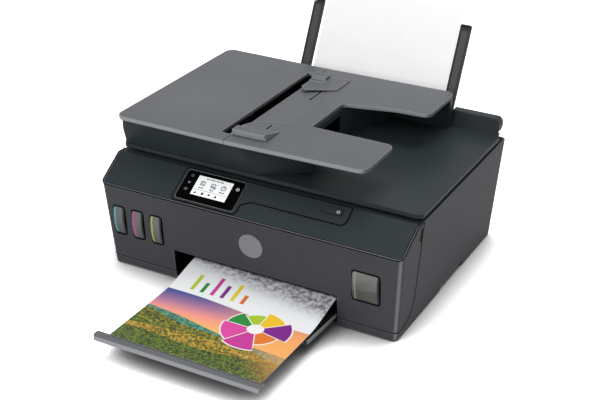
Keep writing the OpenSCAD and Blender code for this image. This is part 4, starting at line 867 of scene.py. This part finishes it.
def lens_marks():
    """Touch marks beside the screen: a power arc, an arrow and a framed bar, then a ringed dot."""
    place = top_of("display_lens")
    left, right = -35.0, 36.7
    marks = ring(left, 15.2, 2.0, 0.5, 16, math.radians(-230), math.radians(50))
    marks += [bar(left - 0.25, 15.2, left + 0.25, 17.6)]
    marks += [[(left - 2.4, 5.0), (left + 2.4, 5.0), (left, 1.2)]]
    marks += frame_of(left - 2.0, -8.6, left + 2.0, -5.4, 0.5) + [bar(left - 1, -7.3, left + 1, -6.8)]
    help_mark = ring(right, 10.6, 2.6, 0.9, 20) + [disc(right, 10.6, 0.9, 10)]
    plates("lens_marks", marks, place, LENS_INK, "scanner", "lens_black", "faint_ink")
    plates("lens_help_mark", help_mark, place, LENS_INK, "scanner", "lens_black", "bright_ink")


def button_marks():
    """Ring printed on the power button."""
    plates("button_ring", ring(8.6, 0, 2.4, 1.1), top_of("power_button"), LENS_INK,
           "button", "lens_black", "button_ink")


# --- badge ---
BADGE_X, BADGE_Z = 8.7 * MM, 89.6 * MM
BADGE_MIDDLE = 0.55  # height of its hollow middle, in mm
BADGE_PROFILE = [(15.6, 0.7), (16.6, 1.0), (17.3, 0.95), (17.9, 0.5), (18.0, -0.4)]  # radius and height
BADGE_STEPS = 72


def fascia_place(x, z):
    """Frame on the leaning front wall: x right, y up the wall, z out of it."""
    front = [v.co for v in NODES["front_fascia"].data.vertices if abs(v.co.x) < 150 * MM]
    top_y = min(p.y for p in front)
    top_z = min(p.z for p in front if p.y < top_y + 0.05 * MM)
    foot = min((p for p in front if p.z < 20 * MM), key=lambda p: p.y)
    lean = math.atan2(foot.y - top_y, top_z - foot.z)
    y = top_y + (top_z - z) * math.tan(lean)
    return Matrix.Translation((x, y, z)) @ Matrix.Rotation(math.pi / 2 + lean, 4, "X")


def badge():
    """Blank round badge: a shallow dished disc with a rounded rim."""
    place = fascia_place(BADGE_X, BADGE_Z)
    bm = bmesh.new()
    rings = [[bm.verts.new(place @ (Vector((x, y, h)) * MM)) for x, y in disc(0, 0, r, BADGE_STEPS)]
             for r, h in BADGE_PROFILE]
    middle = bm.verts.new(place @ Vector((0, 0, BADGE_MIDDLE * MM)))
    for a, b in neighbours(rings[0]):
        bm.faces.new((middle, a, b))
    for inner, outer in zip(rings, rings[1:]):
        wall_between(bm, outer, inner)
    bm.faces.new(rings[-1][::-1])
    mesh = closed_mesh("badge_disc", bm)
    mesh.shade_smooth()
    new_piece("badge_disc", mesh, "case", "steel", "badge_silver")


# --- foam pad ---
PAD_COLUMNS, PAD_ROWS = 30, 22
PAD_CROWN = 0.15 * MM
PAD_EDGE = 4 * MM  # width of the edge that is pulled in
PAD_LIFT = 1.6 * MM  # how far it is pulled up


def foam_pad():
    """The lid's foam pad with its white sheet: crowned below, sides pulled in under the rounded edge."""
    low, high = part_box("document_pad")

    def under_side(a, b):
        x, y = low.x + (high.x - low.x) * a, low.y + (high.y - low.y) * b
        inward = min(x - low.x, high.x - x, y - low.y, high.y - y)
        pulled = 1 - min(1.0, inward / PAD_EDGE)
        swell = math.sin(math.pi * a) * math.sin(math.pi * b)
        return Vector((x, y, low.z + PAD_CROWN * (1 - swell) + PAD_LIFT * pulled ** 2))

    def upper_side(a, b):
        return Vector((*under_side(a, b).xy, high.z))

    bm = bmesh.new()
    grids = [[[bm.verts.new(side(i / PAD_COLUMNS, j / PAD_ROWS)) for j in range(PAD_ROWS + 1)]
              for i in range(PAD_COLUMNS + 1)] for side in (under_side, upper_side)]
    for grid, turn in zip(grids, (-1, 1)):
        for one, other in zip(grid, grid[1:]):
            for j in range(PAD_ROWS):
                bm.faces.new((one[j], other[j], other[j + 1], one[j + 1])[::turn])
    lower, upper = ([row[0] for row in grid[:-1]] + grid[-1][:-1]
                    + [row[-1] for row in grid[:0:-1]] + grid[0][:0:-1] for grid in grids)
    wall_between(bm, lower, upper)
    mesh = closed_mesh("lid_foam_pad", bm)
    mesh.shade_smooth()
    pad = new_piece("lid_foam_pad", mesh, "lid", "white_pad")
    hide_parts("document_pad")


# --- floor, light and camera ---
def floor_material():
    """Pale matt floor; where it is seen it reads as white and keeps the object's shadow, and a painted
    contact shadow darkens it near the printer.
    """
    s, shader = new_material("studio_floor")
    s.feed(shader.inputs["Base Color"], s.mix(s.noise(s.place(), 1.5), rgba("#f2f2f2"), rgba(STUDIO_WHITE)))
    shader.inputs["Roughness"].default_value = 0.9
    shader.inputs["Specular IOR Level"].default_value = 0.1
    # painted contact shadow: ambient occlusion darkens the seen floor near the printer
    hollow = s.add("ShaderNodeAmbientOcclusion", samples=16)
    hollow.inputs["Distance"].default_value = CONTACT_REACH
    shadowed = s.mix(s.ease(hollow.outputs["AO"], 0.20, 0.82), grey(CONTACT_SHADE), grey(FLOOR_WHITE))
    seen, in_gloss = s.seen_rays()
    pale = s.add("ShaderNodeBsdfDiffuse")
    s.feed(pale.inputs["Color"], s.mix(in_gloss, shadowed, rgba(STUDIO_WHITE)))
    choose = s.add("ShaderNodeMixShader")
    for i, value in enumerate((seen, shader.outputs[0], pale.outputs[0])):
        s.feed(choose.inputs[i], value)
    s.feed(s.tree.nodes["Material Output"].inputs[0], choose.outputs[0])


def studio_floor():
    floor_material()
    mesh = bpy.data.meshes.new("studio_floor")
    corners = [(x, y, 0) for x, y in bar(-FLOOR_HALF, -FLOOR_HALF, FLOOR_HALF, FLOOR_HALF)]
    mesh.from_pydata(corners, [], [range(4)])
    mesh.materials.append(FINISHES["studio_floor"])
    floor = bpy.data.objects.new("studio_floor", mesh)
    bpy.context.scene.collection.objects.link(floor)


def soft_box(name, place, aim, width, height, power):
    """Rectangular lamp that looks from place to aim; metres and watts."""
    lamp = bpy.data.lights.new(name, "AREA")
    lamp.shape = "RECTANGLE"
    lamp.size, lamp.size_y, lamp.energy = width, height, power
    box = bpy.data.objects.new(name, lamp)
    box.location = place
    box.rotation_euler = (Vector(aim) - Vector(place)).to_track_quat("-Z", "Y").to_euler()
    bpy.context.scene.collection.objects.link(box)


def studio_light():
    """A dim world that is white where it is seen, and three large soft boxes."""
    world = bpy.data.worlds.new("studio")
    world.use_nodes = True
    world.node_tree.nodes.clear()
    s = Sheet(world.node_tree)
    glow = s.add("ShaderNodeBackground")
    s.feed(glow.inputs["Strength"], s.sum("MULTIPLY_ADD", s.seen_rays()[0], 1.0 - WORLD_LIGHT, WORLD_LIGHT))
    s.feed(s.add("ShaderNodeOutputWorld").inputs[0], glow.outputs[0])
    bpy.context.scene.world = world
    soft_box("key_light", (-0.4, -2.0, 1.9), (0, -0.05, 0.1), 1.4, 1.2, 28)
    soft_box("front_light", (-0.4, -2.7, 0.8), (0, 0, 0.1), 1.4, 0.8, 9)
    soft_box("top_light", (0.3, 0.5, 2.25), (0, 0, 0.1), 1.5, 1.2, 28)


def camera():
    """Camera in front of the right corner, looking down at the printer and slightly rolled."""
    back = Vector((math.sin(CAMERA_TURN) * math.cos(CAMERA_DROP),
                   -math.cos(CAMERA_TURN) * math.cos(CAMERA_DROP), math.sin(CAMERA_DROP)))
    level = (-back).cross(Vector((0, 0, 1))).normalized()
    rise = level.cross(-back)
    right = level * math.cos(CAMERA_ROLL) + rise * math.sin(CAMERA_ROLL)
    up = -level * math.sin(CAMERA_ROLL) + rise * math.cos(CAMERA_ROLL)
    data = bpy.data.cameras.new("camera")
    data.lens = CAMERA_LENS
    data.sensor_width = 36
    data.clip_start, data.clip_end = 0.01, 50
    eye = bpy.data.objects.new("camera", data)
    eye.matrix_world = axes_at(right, up, back, CAMERA_PLACE)
    bpy.context.scene.collection.objects.link(eye)
    bpy.context.scene.camera = eye


make_finishes()
dress_solids()
seams()
cover_splits()
finger_notch_shade()
tray_rail_highlight()
support_caps()
screen_marks()
lens_marks()
button_marks()
badge()
foam_pad()
studio_floor()
studio_light()
camera()
bpy.context.scene.view_settings.view_transform = "Standard"
